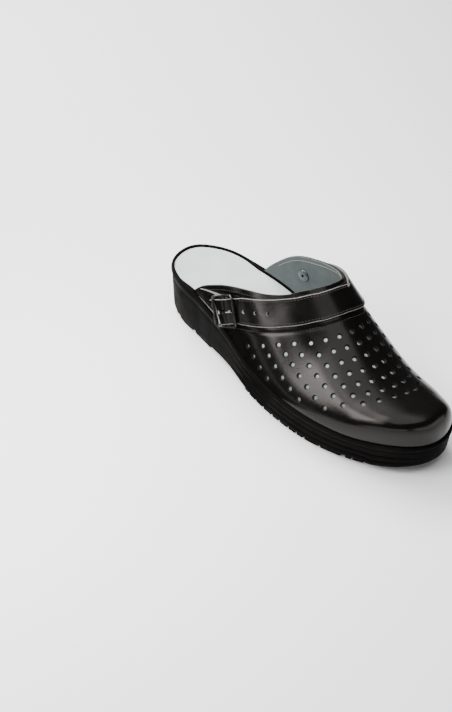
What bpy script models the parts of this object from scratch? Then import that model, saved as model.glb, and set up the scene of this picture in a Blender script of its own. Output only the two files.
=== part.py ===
"""Right work clog: perforated leather upper, buckled instep strap, insole and moulded unit sole.

Lengths in the tables are millimetres. X runs from the back of the heel to the toe, Y from the outer
(lateral) to the inner (medial) side, Z up from the floor. The finished meshes are in metres.
"""
import math
from bisect import bisect_right

import bmesh
import bpy
import numpy as np

MM = 0.001
OBJECT_NAME = "work_clog"

# Driving dimensions
SOLE_LENGTH = 280.0
CLEARANCE = 0.3
SEAT_GAP = 0.7
STRAP_GAP = 0.55
WALL = 2.2
SEAT_INSET = 2.0
RIM_WIDTH = 5.0
HEEL_RIM_WIDTH = 2.8
LATERAL_RIM_RUN = (24.0, 46.0)
MEDIAL_RIM_RUN = (42.0, 64.0)
RECESS_DEPTH = 4.5
INSOLE_THICKNESS = 3.0
HEEL_DISH = 2.0
TREAD_DEPTH = 3.5
HOLE_RADIUS = 1.9
HOLE_SIDES = 6
PUNCH_REACH = 6.0
STRAP_PUNCH_REACH = 11.0
STRAP_WIDTH = 21.0
STRAP_THICKNESS = 1.8
STRAP_BLUNT = 2.0
TAB_THICKNESS = 1.5
BUCKLE_WIDTH = 27.0
BUCKLE_LENGTH = 22.0
BUCKLE_WIRE = 1.15
BUCKLE_CORNER = 3.0
PRONG_WIRE = 0.9
BUCKLE_EASE = 0.5
BUCKLE_EASE_RUN = (10.0, 16.0)
BAR_RADIUS = 1.0
KNUCKLE_RADIUS = 2.3
KNUCKLE_BORE = 1.3
KNUCKLE_SIDES = 10
KNUCKLE_ENDS = (2.5, 9.5)
RIVET_SHANK = 1.6
RIVET_HEAD = 4.2
RIVET_WASHER = 5.2
RIVET_HEAD_HEIGHT = 1.0
RIVET_SIDES = 12
SPARE_HOLE_RADIUS = 1.3
PRONG_SLOT = ((-2.2, -1.6), (3.6, -1.6), (3.6, 1.6), (-2.2, 1.6))

# Outline of the sole's rim from above: turn (0 heel, 1 toe), lateral and medial half width
OUTLINE = (
    (0.0, 0.0, 0.0),
    (0.1, 20.0, 17.0),
    (0.2, 30.0, 30.0),
    (0.3, 34.0, 35.5),
    (0.4, 40.5, 40.0),
    (0.5, 50.0, 43.0),
    (0.6, 51.5, 46.5),
    (0.7, 44.5, 43.0),
    (0.8, 31.5, 36.0),
    (0.9, 13.5, 26.5),
    (1.0, -7.0, 7.0),
)

# Height of the rim: share of the length, height
RIM = (
    (0.0, 48.5),
    (0.06, 47.0),
    (0.15, 46.0),
    (0.3, 42.0),
    (0.42, 34.0),
    (0.55, 29.2),
    (0.65, 26.8),
    (0.8, 26.0),
    (0.92, 29.3),
    (1.0, 29.3),
)

# Last: turn, crown height over the rim, crown's place across, squareness of the lateral and medial half
LAST = (
    (0.2, 100.0, 14.0, 2.2, 2.2),
    (0.3, 96.0, 15.0, 2.0, 2.4),
    (0.4, 91.5, 20.0, 1.88, 3.0),
    (0.5, 71.5, 20.0, 1.54, 3.1),
    (0.6, 44.5, 12.0, 1.56, 2.75),
    (0.7, 27.0, 2.0, 2.4, 2.4),
    (0.8, 22.2, 2.0, 4.0, 2.4),
    (0.9, 18.8, 7.0, 3.2, 2.4),
    (1.0, 0.0, 7.0, 3.2, 2.4),
)
SECTION_BLEND = (0.3, 0.7)

# Lines on the upper: angle (0 lateral rim, 1 medial rim), collar, strap's middle
LINES = (
    (0.0, 47.0, 76.0),
    (0.05, 60.5, 87.8),
    (0.1, 77.8, 101.0),
    (0.15, 95.0, 113.8),
    (0.2, 110.0, 127.0),
    (0.25, 124.3, 139.2),
    (0.3, 135.8, 149.2),
    (0.35, 143.3, 155.8),
    (0.4, 148.8, 160.8),
    (0.5, 154.0, 165.2),
    (0.6, 153.3, 166.0),
    (0.65, 150.6, 163.8),
    (0.7, 145.6, 159.0),
    (0.75, 138.8, 152.2),
    (0.8, 130.2, 144.5),
    (0.85, 119.0, 135.2),
    (0.9, 104.0, 123.8),
    (0.95, 86.2, 108.0),
    (1.0, 65.8, 83.8),
)
COLLAR, STRAP_LINE = 1, 2

# Columns of punched holes: number, then place and angle of the first, the middle and the last
HOLE_COLUMNS = (
    (4, 125.1, 0.075, 138.0, 0.065, 152.4, 0.048),
    (6, 138.2, 0.132, 159.5, 0.117, 184.6, 0.086),
    (7, 149.6, 0.183, 176.0, 0.174, 206.3, 0.132),
    (7, 159.4, 0.23, 187.5, 0.228, 217.1, 0.222),
    (7, 169.1, 0.281, 198.5, 0.293, 227.9, 0.323),
    (7, 175.9, 0.336, 205.0, 0.365, 234.4, 0.413),
    (7, 181.8, 0.407, 209.7, 0.44, 239.3, 0.481),
    (7, 184.7, 0.479, 212.2, 0.501, 242.8, 0.513),
    (7, 185.2, 0.542, 212.7, 0.564, 244.4, 0.571),
    (7, 184.0, 0.613, 210.8, 0.636, 241.9, 0.662),
    (7, 178.5, 0.695, 205.0, 0.718, 236.0, 0.748),
    (7, 168.5, 0.785, 195.0, 0.805, 225.0, 0.832),
    (6, 155.5, 0.868, 176.5, 0.886, 199.0, 0.908),
    (4, 140.0, 0.928, 153.0, 0.942, 167.0, 0.958),
)

# Side of the sole: share of its height, inset at the smooth heel, inset at the ribbed forefoot
SIDE_PROFILE = (
    (0.0, 2.4, 2.2),
    (0.05, 1.4, 1.3),
    (0.16, 1.3, 1.2),
    (0.2, 1.3, 2.6),
    (0.25, 1.3, 2.6),
    (0.29, 1.2, 1.1),
    (0.42, 1.1, 1.0),
    (0.46, 1.1, 2.5),
    (0.51, 1.1, 2.5),
    (0.55, 1.0, 0.9),
    (0.72, 0.9, 0.7),
    (0.78, 1.2, 1.2),
    (0.84, 0.6, 0.5),
    (0.93, 0.0, 0.0),
    (1.0, 0.9, 0.9),
)
RIBS_BEGIN = (100.0, 135.0)
RIBS_FADE = (255.0, 279.0)

# Dish of the heel seat: where it deepens from the back, where it runs out to the front
DISH_BACK = (4.0, 30.0)
DISH_FRONT = (60.0, 130.0)

# Tread height: heel's back is rounded up, the toe springs
HEEL_ROUND = 17.0
HEEL_ROUND_RISE = 5.0
TOE_SPRING_START = 190.0
TOE_SPRING = 9.5
TOE_SPRING_POWER = 1.7
WAIST_START = 72.0
WAIST_END = 122.0
WAIST_RISE = 1.5
WAIST_SOFTNESS = 8.0
LUG_EDGE = 2.9
LUG_ROOT = 1.2

# Lugs along the edge: side (-1 lateral, 1 medial), back end, front end, inner end at the back, at the front
EDGE_LUGS = (
    (-1, 4.0, 19.0, 8.0, 14.0),
    (-1, 23.0, 44.0, 15.0, 17.0),
    (-1, 48.0, 70.0, 18.0, 18.0),
    (-1, 124.0, 143.0, 30.0, 31.0),
    (-1, 148.0, 175.0, 31.0, 32.0),
    (-1, 180.0, 208.0, 32.0, 29.0),
    (-1, 212.0, 241.0, 27.0, 15.0),
    (1, 4.0, 19.0, 8.0, 14.0),
    (1, 23.0, 44.0, 15.0, 17.0),
    (1, 48.0, 70.0, 18.0, 18.0),
    (1, 98.0, 108.0, 26.0, 27.0),
    (1, 112.0, 126.0, 27.0, 28.0),
    (1, 131.0, 146.0, 29.0, 30.0),
    (1, 150.0, 163.0, 30.0, 31.0),
    (1, 168.0, 199.0, 31.0, 28.0),
    (1, 204.0, 238.0, 27.0, 18.0),
)
EDGE_LUG_SPANS = 3

# Blocks in the middle: back end, front end, lateral edge, medial edge, lean to the medial side
MIDDLE_BLOCKS = (
    (8.0, 24.0, -3.5, 6.0, 0.0),
    (29.0, 47.0, -10.0, 10.5, 0.0),
    (51.0, 69.0, -13.0, 13.5, 0.0),
    (123.0, 147.0, -25.0, -3.0, 2.0),
    (126.0, 147.0, 1.0, 22.0, 2.0),
    (151.0, 179.0, -27.0, -16.0, 2.0),
    (151.0, 179.0, -12.5, -3.5, 2.0),
    (152.0, 178.0, 1.0, 25.0, 1.0),
    (184.0, 205.0, -26.0, -10.0, 3.0),
    (184.0, 200.0, -6.0, 5.0, 3.0),
    (182.0, 199.0, 10.0, 24.0, 1.0),
    (209.0, 239.0, -21.0, -1.0, 7.0),
    (204.0, 230.0, 4.5, 16.5, 2.5),
)
BLOCK_CHAMFER = 3.0

# Wavy ribs across the toe: back edge, front edge
TOE_RIBS = (
    (247.0, 253.0),
    (256.0, 261.5),
    (264.5, 270.0),
)
RIB_WAVE = 1.5
RIB_STEPS = 7

# Buckle tab: upper corner's place and angle, lower corner's place and angle, lift off the upper
BUCKLE_TAB = (
    (60.2, 0.0447, 58.5, 0.0115, 0.3),
    (67.5, 0.0606, 66.0, 0.012, 0.3),
    (75.2, 0.0755, 74.5, 0.0123, 0.3),
    (82.3, 0.0905, 84.0, 0.0126, 0.5),
    (87.6, 0.102, 95.0, 0.0365, 0.8),
    (93.5, 0.116, 103.5, 0.064, 1.1),
)

# Strap over the buckle: distance along the strap from the centre bar, lift off the upper
STRAP_LIFT = (
    (-15.0, 4.7),
    (-10.0, 5.1),
    (-5.0, 6.3),
    (0.0, 6.9),
    (4.0, 5.4),
    (7.0, 3.2),
    (10.0, 1.2),
    (14.0, 0.55),
    (18.0, STRAP_GAP),
    (24.0, STRAP_GAP),
)
BUCKLE_ANGLE = 0.09
BAR_HEIGHT = 4.2
FRAME_BOW = 2.4
FRAME_TILT = 0.18
SLOT_TOP = 14.0

# Prong: distance along the strap from the centre bar, height off the upper
PRONG_PATH = (
    (0.2, 6.4),
    (1.2, 8.5),
    (3.0, 9.4),
    (5.5, 9.0),
    (7.8, 8.0),
    (9.6, 7.2),
)
RIVET_ANGLE = 0.9535
STRAP_END_ANGLE = 0.975
SPARE_HOLE_START = -4.3
SPARE_HOLE_PITCH = 10.4
SPARE_HOLES = 5

# Upper's net: turn where the rows begin to fan over the toe, turn of the net's corners on the rim
TOE_START = 0.8
TOE_CORNER = 0.87
TOE_CROWDING = 1.5

# Mesh fineness
SOLE_STATIONS = 27
BED_COLUMNS = 4
VAMP_ROWS = 18
TOE_ROWS = 7
UPPER_COLUMNS = 22
STRAP_SPANS = 46
STRAP_NEAR_SPANS = 20
STRAP_NEAR_STEP = 2.0
STRAP_COLUMNS = 5


def smooth(table, column, at):
    """Value of a table's column at a place, on a smooth curve through its rows."""
    places = [row[0] for row in table]
    last = len(table) - 1
    low = min(max(bisect_right(places, at) - 1, 0), last - 1)

    def slope(row):
        before = max(row - 1, 0)
        after = min(row + 1, last)
        return (table[after][column] - table[before][column]) / (places[after] - places[before])

    width = places[low + 1] - places[low]
    t = min(max((at - places[low]) / width, 0.0), 1.0)
    start = table[low][column] * (2 * t**3 - 3 * t**2 + 1) + slope(low) * width * (t**3 - 2 * t**2 + t)
    end = table[low + 1][column] * (3 * t**2 - 2 * t**3) + slope(low + 1) * width * (t**3 - t**2)
    return start + end


def ease(value, start, end):
    """Soft step from 0 at start to 1 at end."""
    t = min(max((value - start) / (end - start), 0.0), 1.0)
    return t * t * (3 - 2 * t)


def station(turn):
    """Distance from the heel; stations lie closer together at heel and toe."""
    return SOLE_LENGTH * (1 - math.cos(math.pi * turn)) / 2


def turn_at(x):
    return math.acos(min(max(1 - 2 * x / SOLE_LENGTH, -1.0), 1.0)) / math.pi


def rim_height(x):
    return smooth(RIM, 1, x / SOLE_LENGTH)


def floor_height(x):
    """Height of the tread's ground face over the floor."""
    heel = HEEL_ROUND_RISE * max(1 - x / HEEL_ROUND, 0.0) ** 2
    reach = max((x - TOE_SPRING_START) / (SOLE_LENGTH - TOE_SPRING_START), 0.0)
    return heel + TOE_SPRING * reach**TOE_SPRING_POWER


def rim_width(x, side):
    """Width of the rim round the insole: narrow at the heel, wider where it carries the upper."""
    run = LATERAL_RIM_RUN if side < 0 else MEDIAL_RIM_RUN
    return HEEL_RIM_WIDTH + (RIM_WIDTH - HEEL_RIM_WIDTH) * ease(x, *run)


def base_height(x):
    """Underside of the sole between the lugs, a little higher at the smooth waist."""
    middle = (WAIST_START + WAIST_END) / 2
    rise = ease(x, WAIST_START - WAIST_SOFTNESS, middle)
    waist = rise * (1 - ease(x, middle, WAIST_END + WAIST_SOFTNESS))
    return floor_height(x) + TREAD_DEPTH + WAIST_RISE * waist


def outline_point(turn, side, inset=0.0):
    """Point of the sole's outline, moved inwards by the inset; side is -1 lateral or 1 medial."""
    column = 1 if side < 0 else 2
    step = 1e-4
    before = max(turn - step, 0.0)
    after = min(turn + step, 1.0)
    dx = station(after) - station(before)
    dy = side * (smooth(OUTLINE, column, after) - smooth(OUTLINE, column, before))
    length = math.hypot(dx, dy)
    x = station(turn) + inset * side * dy / length
    y = side * (smooth(OUTLINE, column, turn) - inset * dx / length)
    return x, y


def last_point(turn, angle):
    """Outer surface of the upper; the angle runs from 0 at the lateral to 1 at the medial rim."""
    lateral = outline_point(turn, -1, SEAT_INSET)
    medial = outline_point(turn, 1, SEAT_INSET)
    blend = ease(angle, *SECTION_BLEND)
    squareness = smooth(LAST, 3, turn) * (1 - blend) + smooth(LAST, 4, turn) * blend
    around = math.pi * angle
    reach = abs(math.cos(around)) ** (2 / squareness)
    foot = lateral if angle < 0.5 else medial
    crown_x = (lateral[0] + medial[0]) / 2
    crown_y = min(max(smooth(LAST, 2, turn), lateral[1]), medial[1])
    x = crown_x + (foot[0] - crown_x) * reach
    y = crown_y + (foot[1] - crown_y) * reach
    rise = smooth(LAST, 1, turn) * max(math.sin(around), 0.0) ** (2 / squareness)
    return np.array((x, y, rim_height(x) + SEAT_GAP + rise))


def slopes(turn, angle):
    """Directions of the upper's surface along the shoe and around it."""
    step = 1e-4
    along = last_point(turn + step, angle) - last_point(turn - step, angle)
    low = max(angle - step, 0.0)
    high = min(angle + step, 1.0)
    around = last_point(turn, high) - last_point(turn, low)
    return along / (2 * step), around / (high - low)


def unit(vector):
    return vector / np.linalg.norm(vector)


def surface_normal(turn, angle):
    along, around = slopes(turn, angle)
    return unit(np.cross(along, around))


def walk(turn, angle, vector, steps=4):
    """Turn and angle reached by walking over the upper's surface along a vector."""
    for _ in range(steps):
        along, around = slopes(turn, angle)
        square = np.array(((along @ along, along @ around), (along @ around, around @ around)))
        move = np.linalg.solve(square, np.array((along @ vector, around @ vector)) / steps)
        turn += move[0]
        angle = min(max(angle + move[1], 0.0), 1.0)
    return turn, angle


def line_turn(column, angle):
    return turn_at(smooth(LINES, column, angle))


def off_surface(turn, angle, lift):
    return last_point(turn, angle) + lift * surface_normal(turn, angle)


def make_collection(name):
    collection = bpy.data.collections.new(name)
    bpy.context.scene.collection.children.link(collection)
    return collection


def make_material(name, colour, roughness, metallic=0.0):
    material = bpy.data.materials.new(name)
    material.use_nodes = True
    shader = material.node_tree.nodes["Principled BSDF"]
    shader.inputs["Base Color"].default_value = (*colour, 1.0)
    shader.inputs["Roughness"].default_value = roughness
    shader.inputs["Metallic"].default_value = metallic
    return material


def make_object(name, points, faces, collection, material=None, closed=True):
    """Object from points in millimetres, welded; a closed one has its faces turned outwards."""
    mesh = bpy.data.meshes.new(name)
    mesh.from_pydata([tuple(float(c) * MM for c in point) for point in points], [], faces)
    shape = bmesh.new()
    shape.from_mesh(mesh)
    bmesh.ops.remove_doubles(shape, verts=shape.verts, dist=1e-6)
    if closed:
        bmesh.ops.recalc_face_normals(shape, faces=shape.faces)
    shape.to_mesh(mesh)
    shape.free()
    mesh.shade_smooth()
    mesh.set_sharp_from_angle(angle=math.radians(40))
    piece = bpy.data.objects.new(name, mesh)
    collection.objects.link(piece)
    if material:
        mesh.materials.append(material)
    return piece


def make_cutter(name, points, faces, collection):
    cutter = make_object(name, points, faces, collection)
    cutter.hide_render = True
    cutter.display_type = "WIRE"
    return cutter


def add_boolean(piece, other, operation):
    modifier = piece.modifiers.new(operation.title(), "BOOLEAN")
    modifier.operation = operation
    modifier.solver = "EXACT"
    modifier.object = other


def prism(bottom, top, points, faces):
    """Adds a closed prism between two outlines of as many points."""
    first = len(points)
    count = len(bottom)
    points.extend(bottom)
    points.extend(top)
    faces.append([first + i for i in range(count)])
    faces.append([first + count + i for i in range(count)])
    for i in range(count):
        j = (i + 1) % count
        faces.append([first + i, first + j, first + count + j, first + count + i])


def tube_rings(rings, points, faces):
    """Adds a closed solid through rings of as many points, with both ends capped."""
    first = len(points)
    count = len(rings[0])
    for ring in rings:
        points.extend(ring)
    for k in range(len(rings) - 1):
        for i in range(count):
            j = (i + 1) % count
            a = first + k * count
            b = a + count
            faces.append([a + i, a + j, b + j, b + i])
    faces.append([first + i for i in range(count)])
    faces.append([first + (len(rings) - 1) * count + i for i in range(count)])


# Sole and insole

def outline_ring(inset, height):
    """Ring round the sole: lateral side from heel to toe, then the medial side back."""
    turns = [i / SOLE_STATIONS for i in range(SOLE_STATIONS + 1)]
    stops = [(turn, -1) for turn in turns] + [(turn, 1) for turn in reversed(turns[1:-1])]
    ring = []
    for turn, side in stops:
        x, y = outline_point(turn, side, inset(station(turn), side))
        ring.append((x, y, height(x)))
    return ring


def bed_drop(x, share):
    """Dish of the heel seat, deepest in the middle."""
    along = ease(x, *DISH_BACK) * (1 - ease(x, *DISH_FRONT))
    return HEEL_DISH * along * (1 - (2 * share - 1) ** 2)


def cap_ring(first, ring, points, faces, drop=None):
    """Closes a ring with rows of faces from its lateral to its medial side."""
    rows = []
    for i in range(SOLE_STATIONS + 1):
        lateral = i
        medial = (2 * SOLE_STATIONS - i) % (2 * SOLE_STATIONS)
        if lateral == medial:
            rows.append([first + lateral] * (BED_COLUMNS + 1))
            continue
        row = [first + lateral]
        a = np.array(ring[lateral])
        b = np.array(ring[medial])
        for column in range(1, BED_COLUMNS):
            share = column / BED_COLUMNS
            point = a + (b - a) * share
            if drop:
                point[2] -= drop(point[0], share)
            row.append(len(points))
            points.append(tuple(point))
        row.append(first + medial)
        rows.append(row)
    for low, high in zip(rows, rows[1:]):
        for k in range(BED_COLUMNS):
            corners = [low[k], low[k + 1], high[k + 1], high[k]]
            face = [c for n, c in enumerate(corners) if c not in corners[:n]]
            faces.append(face)


def stack_rings(rings, bottom_drop=None, top_drop=None):
    points = []
    faces = []
    count = 2 * SOLE_STATIONS
    for ring in rings:
        points.extend(ring)
    for level in range(len(rings) - 1):
        a = level * count
        for i in range(count):
            j = (i + 1) % count
            faces.append([a + i, a + j, a + count + j, a + count + i])
    cap_ring(0, rings[0], points, faces, bottom_drop)
    cap_ring((len(rings) - 1) * count, rings[-1], points, faces, top_drop)
    return points, faces


def sole_rings():
    def side_ring(share, heel_inset, fore_inset):
        def inset(x, side):
            ribs = ease(x, *RIBS_BEGIN) * (1 - ease(x, *RIBS_FADE))
            return heel_inset + (fore_inset - heel_inset) * ribs

        def height(x):
            return base_height(x) + (rim_height(x) - base_height(x)) * share

        return outline_ring(inset, height)

    rings = [side_ring(*row) for row in SIDE_PROFILE]
    rings.append(outline_ring(rim_width, rim_height))
    rings.append(outline_ring(rim_width, lambda x: rim_height(x) - RECESS_DEPTH))
    return rings


def lug_between(corners, points, faces):
    """Adds a lug with its root inside the sole; corners are places from above."""
    root = [(x, y, base_height(x) + LUG_ROOT) for x, y in corners]
    ground = [(x, y, floor_height(x)) for x, y in corners]
    prism(ground, root, points, faces)


def edge_corners(side, back, front, inner_back, inner_front):
    corners = []
    for i in range(EDGE_LUG_SPANS + 1):
        x = back + (front - back) * i / EDGE_LUG_SPANS
        corners.append(outline_point(turn_at(x), side, LUG_EDGE))
    corners.append((corners[-1][0], side * inner_front))
    corners.append((corners[0][0], side * inner_back))
    return corners


def block_corners(back, front, lateral, medial, lean):
    """A leaning block with its corners cut off."""
    cut = BLOCK_CHAMFER
    square = (
        (back, lateral + cut),
        (back + cut, lateral),
        (front - cut, lateral),
        (front, lateral + cut),
        (front, medial - cut),
        (front - cut, medial),
        (back + cut, medial),
        (back, medial - cut),
    )
    return [(x, y + lean * (x - back) / (front - back)) for x, y in square]


def rib_corners(back, front):
    """A wavy rib from edge to edge of the toe."""
    corners = []
    for edge in (back, front):
        lateral = outline_point(turn_at(edge), -1, LUG_EDGE)
        medial = outline_point(turn_at(edge), 1, LUG_EDGE)
        row = []
        for i in range(RIB_STEPS + 1):
            share = i / RIB_STEPS
            wave = RIB_WAVE * math.sin(2.5 * math.pi * share) * math.sin(math.pi * share)
            x = lateral[0] + (medial[0] - lateral[0]) * share + wave
            row.append((x, lateral[1] + (medial[1] - lateral[1]) * share))
        corners.extend(row if edge == back else reversed(row))
    return corners


def make_outsole(parts, cutters, material):
    lug_points = []
    lug_faces = []
    for row in EDGE_LUGS:
        lug_between(edge_corners(*row), lug_points, lug_faces)
    for row in MIDDLE_BLOCKS:
        lug_between(block_corners(*row), lug_points, lug_faces)
    for back, front in TOE_RIBS:
        lug_between(rib_corners(back, front), lug_points, lug_faces)
    lugs = make_cutter("tread_lugs", lug_points, lug_faces, cutters)
    outsole = make_object("outsole", *stack_rings(sole_rings(), top_drop=bed_drop), parts, material)
    add_boolean(outsole, lugs, "UNION")
    return outsole


def make_insole(parts, material):
    def edge(x, side):
        return rim_width(x, side) + CLEARANCE

    def under(x):
        return rim_height(x) - RECESS_DEPTH + CLEARANCE

    def top(x):
        return under(x) + INSOLE_THICKNESS

    rings = [outline_ring(edge, under), outline_ring(edge, top)]
    return make_object("insole", *stack_rings(rings, bed_drop, bed_drop), parts, material)


# Upper

def upper_place(row, column):
    """Turn and angle of a point of the upper's net; over the toe its rows fan out down to the rim."""
    angle = column / UPPER_COLUMNS
    if row <= VAMP_ROWS:
        collar = line_turn(COLLAR, angle)
        return collar + (TOE_START - collar) * row / VAMP_ROWS, angle
    share = 1 - (1 - (row - VAMP_ROWS) / TOE_ROWS) ** TOE_CROWDING
    start = 1 - TOE_START
    out = start * math.cos(math.pi * angle) * (1 - share) + (1 - TOE_CORNER) * (1 - 2 * angle) * share
    up = start * math.sin(math.pi * angle) * (1 - share)
    return 1 - math.hypot(out, up), math.atan2(up, out) / math.pi


def upper_surface():
    """Open sheet of the upper from the collar to the toe, between the two rims."""
    points = []
    faces = []
    rows = VAMP_ROWS + TOE_ROWS
    for row in range(rows + 1):
        for column in range(UPPER_COLUMNS + 1):
            points.append(last_point(*upper_place(row, column)))
    width = UPPER_COLUMNS + 1
    for row in range(rows):
        for column in range(UPPER_COLUMNS):
            a = row * width + column
            faces.append([a, a + width, a + width + 1, a + 1])
    return points, faces


def hole_places():
    """Turn and angle of each punched hole, column by column in front of the strap."""
    places = []
    for count, *column in HOLE_COLUMNS:
        for row in range(count):
            t = row / (count - 1)
            shares = ((1 - t) * (1 - 2 * t), 4 * t * (1 - t), t * (2 * t - 1))
            x = sum(share * place for share, place in zip(shares, column[0::2]))
            angle = sum(share * place for share, place in zip(shares, column[1::2]))
            places.append((turn_at(x), angle))
    return places


def punch(turn, angle, radius, points, faces, reach=PUNCH_REACH):
    """Adds a round cutter through the upper's surface and whatever lies on it."""
    centre = last_point(turn, angle)
    along, _ = slopes(turn, angle)
    normal = surface_normal(turn, angle)
    first = unit(along)
    second = np.cross(normal, first)
    rings = []
    for depth in (-reach, reach):
        ring = []
        for i in range(HOLE_SIDES):
            a = 2 * math.pi * (i + 0.5) / HOLE_SIDES
            ring.append(centre + depth * normal + radius * (math.cos(a) * first + math.sin(a) * second))
        rings.append(ring)
    prism(rings[0], rings[1], points, faces)


def rivet_place():
    return line_turn(STRAP_LINE, RIVET_ANGLE), RIVET_ANGLE


def make_upper(parts, cutters, material):
    upper = make_object("upper", *upper_surface(), parts, material, closed=False)
    shell = upper.modifiers.new("Wall", "SOLIDIFY")
    shell.thickness = WALL * MM
    shell.offset = -1.0
    points = []
    faces = []
    for turn, angle in hole_places():
        punch(turn, angle, HOLE_RADIUS, points, faces)
    punch(*rivet_place(), RIVET_SHANK + CLEARANCE, points, faces)
    add_boolean(upper, make_cutter("upper_punches", points, faces, cutters), "DIFFERENCE")
    return upper


# Strap, tab, buckle and rivet

def strap_stop(angle):
    """Place on the strap's middle line, with the directions along and across it."""
    step = 1e-3
    turn = line_turn(STRAP_LINE, angle)
    before = last_point(line_turn(STRAP_LINE, angle - step), angle - step)
    after = last_point(line_turn(STRAP_LINE, angle + step), angle + step)
    along = unit(after - before)
    normal = surface_normal(turn, angle)
    return turn, unit(np.cross(normal, along)), along, normal


def strap_length(start, end, spans=40):
    """Length of the strap's middle line between two angles, negative backwards."""
    stops = [start + (end - start) * i / spans for i in range(spans + 1)]
    spots = [last_point(line_turn(STRAP_LINE, stop), stop) for stop in stops]
    length = sum(np.linalg.norm(b - a) for a, b in zip(spots, spots[1:]))
    return length if end >= start else -length


def angle_along_strap(distance):
    """Angle of the place that lies a distance along the strap from the buckle's centre bar."""
    low = 0.02
    high = STRAP_END_ANGLE
    for _ in range(30):
        middle = (low + high) / 2
        if strap_length(BUCKLE_ANGLE, middle) < distance:
            low = middle
        else:
            high = middle
    return (low + high) / 2


def band_ring(angle, lift, thickness, half_width):
    """Cross-section of the strap at an angle: inner side, then outer side back."""
    turn, across, _, _ = strap_stop(angle)
    inner = []
    outer = []
    for column in range(STRAP_COLUMNS):
        reach = half_width * (2 * column / (STRAP_COLUMNS - 1) - 1)
        spot = walk(turn, angle, across * reach)
        inner.append(off_surface(*spot, lift))
        outer.append(off_surface(*spot, lift + thickness))
    return inner + outer[::-1]


def strap_angles():
    """Stops along the strap, closer together at the buckle."""
    tail = STRAP_LIFT[0][0]
    near = [angle_along_strap(tail + STRAP_NEAR_STEP * i) for i in range(STRAP_NEAR_SPANS)]
    far_spans = STRAP_SPANS - STRAP_NEAR_SPANS
    start = near[-1]
    far = [start + (STRAP_END_ANGLE - start) * (i + 1) / far_spans for i in range(far_spans)]
    return near + far


def strap_width_at(distance, end_distance):
    """Half width: rounded at the medial end and a little narrower through the buckle."""
    half = STRAP_WIDTH / 2 - BUCKLE_EASE * (1 - ease(abs(distance), *BUCKLE_EASE_RUN))
    short = max(half - (end_distance - distance), 0.0)
    rounded = math.sqrt(max(half**2 - short**2, STRAP_BLUNT**2))
    return min(rounded, half)


def make_strap(parts, cutters, material):
    rings = []
    end_distance = strap_length(BUCKLE_ANGLE, STRAP_END_ANGLE)
    for angle in strap_angles():
        distance = strap_length(BUCKLE_ANGLE, angle)
        lift = smooth(STRAP_LIFT, 1, distance) if distance < STRAP_LIFT[-1][0] else STRAP_GAP
        rings.append(band_ring(angle, lift, STRAP_THICKNESS, strap_width_at(distance, end_distance)))
    points = []
    faces = []
    tube_rings(rings, points, faces)
    strap = make_object("strap", points, faces, parts, material)
    cut_points = []
    cut_faces = []
    punch(*rivet_place(), RIVET_SHANK + CLEARANCE, cut_points, cut_faces)
    for i in range(SPARE_HOLES):
        angle = angle_along_strap(SPARE_HOLE_START + SPARE_HOLE_PITCH * i)
        turn = line_turn(STRAP_LINE, angle)
        punch(turn, angle, SPARE_HOLE_RADIUS, cut_points, cut_faces, STRAP_PUNCH_REACH)
    slot_bottom = [buckle_point(s, w, BAR_HEIGHT) for s, w in PRONG_SLOT]
    slot_top = [buckle_point(s, w, SLOT_TOP) for s, w in PRONG_SLOT]
    prism(slot_bottom, slot_top, cut_points, cut_faces)
    add_boolean(strap, make_cutter("strap_punches", cut_points, cut_faces, cutters), "DIFFERENCE")
    return strap


def buckle_point(along, across, height):
    """Point in the buckle's own axes: along the strap, across it, and off the upper."""
    turn, side, forward, normal = strap_stop(BUCKLE_ANGLE)
    return last_point(turn, BUCKLE_ANGLE) + along * forward + across * side + height * normal


def make_buckle_tab(parts, cutters, material):
    """Tab from the rim to the centre bar, with its front end rolled round the bar."""
    rings = []
    for upper_x, upper_angle, lower_x, lower_angle, lift in BUCKLE_TAB:
        inner = []
        outer = []
        for column in range(STRAP_COLUMNS):
            share = column / (STRAP_COLUMNS - 1)
            turn = turn_at(lower_x + (upper_x - lower_x) * share)
            angle = lower_angle + (upper_angle - lower_angle) * share
            inner.append(off_surface(turn, angle, lift))
            outer.append(off_surface(turn, angle, lift + TAB_THICKNESS))
        rings.append(inner + outer[::-1])
    points = []
    faces = []
    tube_rings(rings, points, faces)
    tab = make_object("buckle_tab", points, faces, parts, material)
    roll_points = []
    roll_faces = []
    for side in (-1, 1):
        knuckle(side, roll_points, roll_faces)
    add_boolean(tab, make_cutter("tab_knuckles", roll_points, roll_faces, cutters), "UNION")
    return tab


def knuckle(side, points, faces):
    """Adds one half of the tab's rolled end: a short pipe round the centre bar."""
    rings = []
    near, far = KNUCKLE_ENDS
    outside = ((KNUCKLE_RADIUS, near), (KNUCKLE_RADIUS, far))
    inside = ((KNUCKLE_BORE, far), (KNUCKLE_BORE, near))
    for radius, across in outside + inside:
        ring = []
        for i in range(KNUCKLE_SIDES):
            a = 2 * math.pi * i / KNUCKLE_SIDES
            height = BAR_HEIGHT + radius * math.sin(a)
            ring.append(buckle_point(radius * math.cos(a), side * across, height))
        rings.append(ring)
    first = len(points)
    for ring in rings:
        points.extend(ring)
    for k in range(len(rings)):
        a = first + k * KNUCKLE_SIDES
        b = first + (k + 1) % len(rings) * KNUCKLE_SIDES
        for i in range(KNUCKLE_SIDES):
            j = (i + 1) % KNUCKLE_SIDES
            faces.append([a + i, a + j, b + j, b + i])


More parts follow.
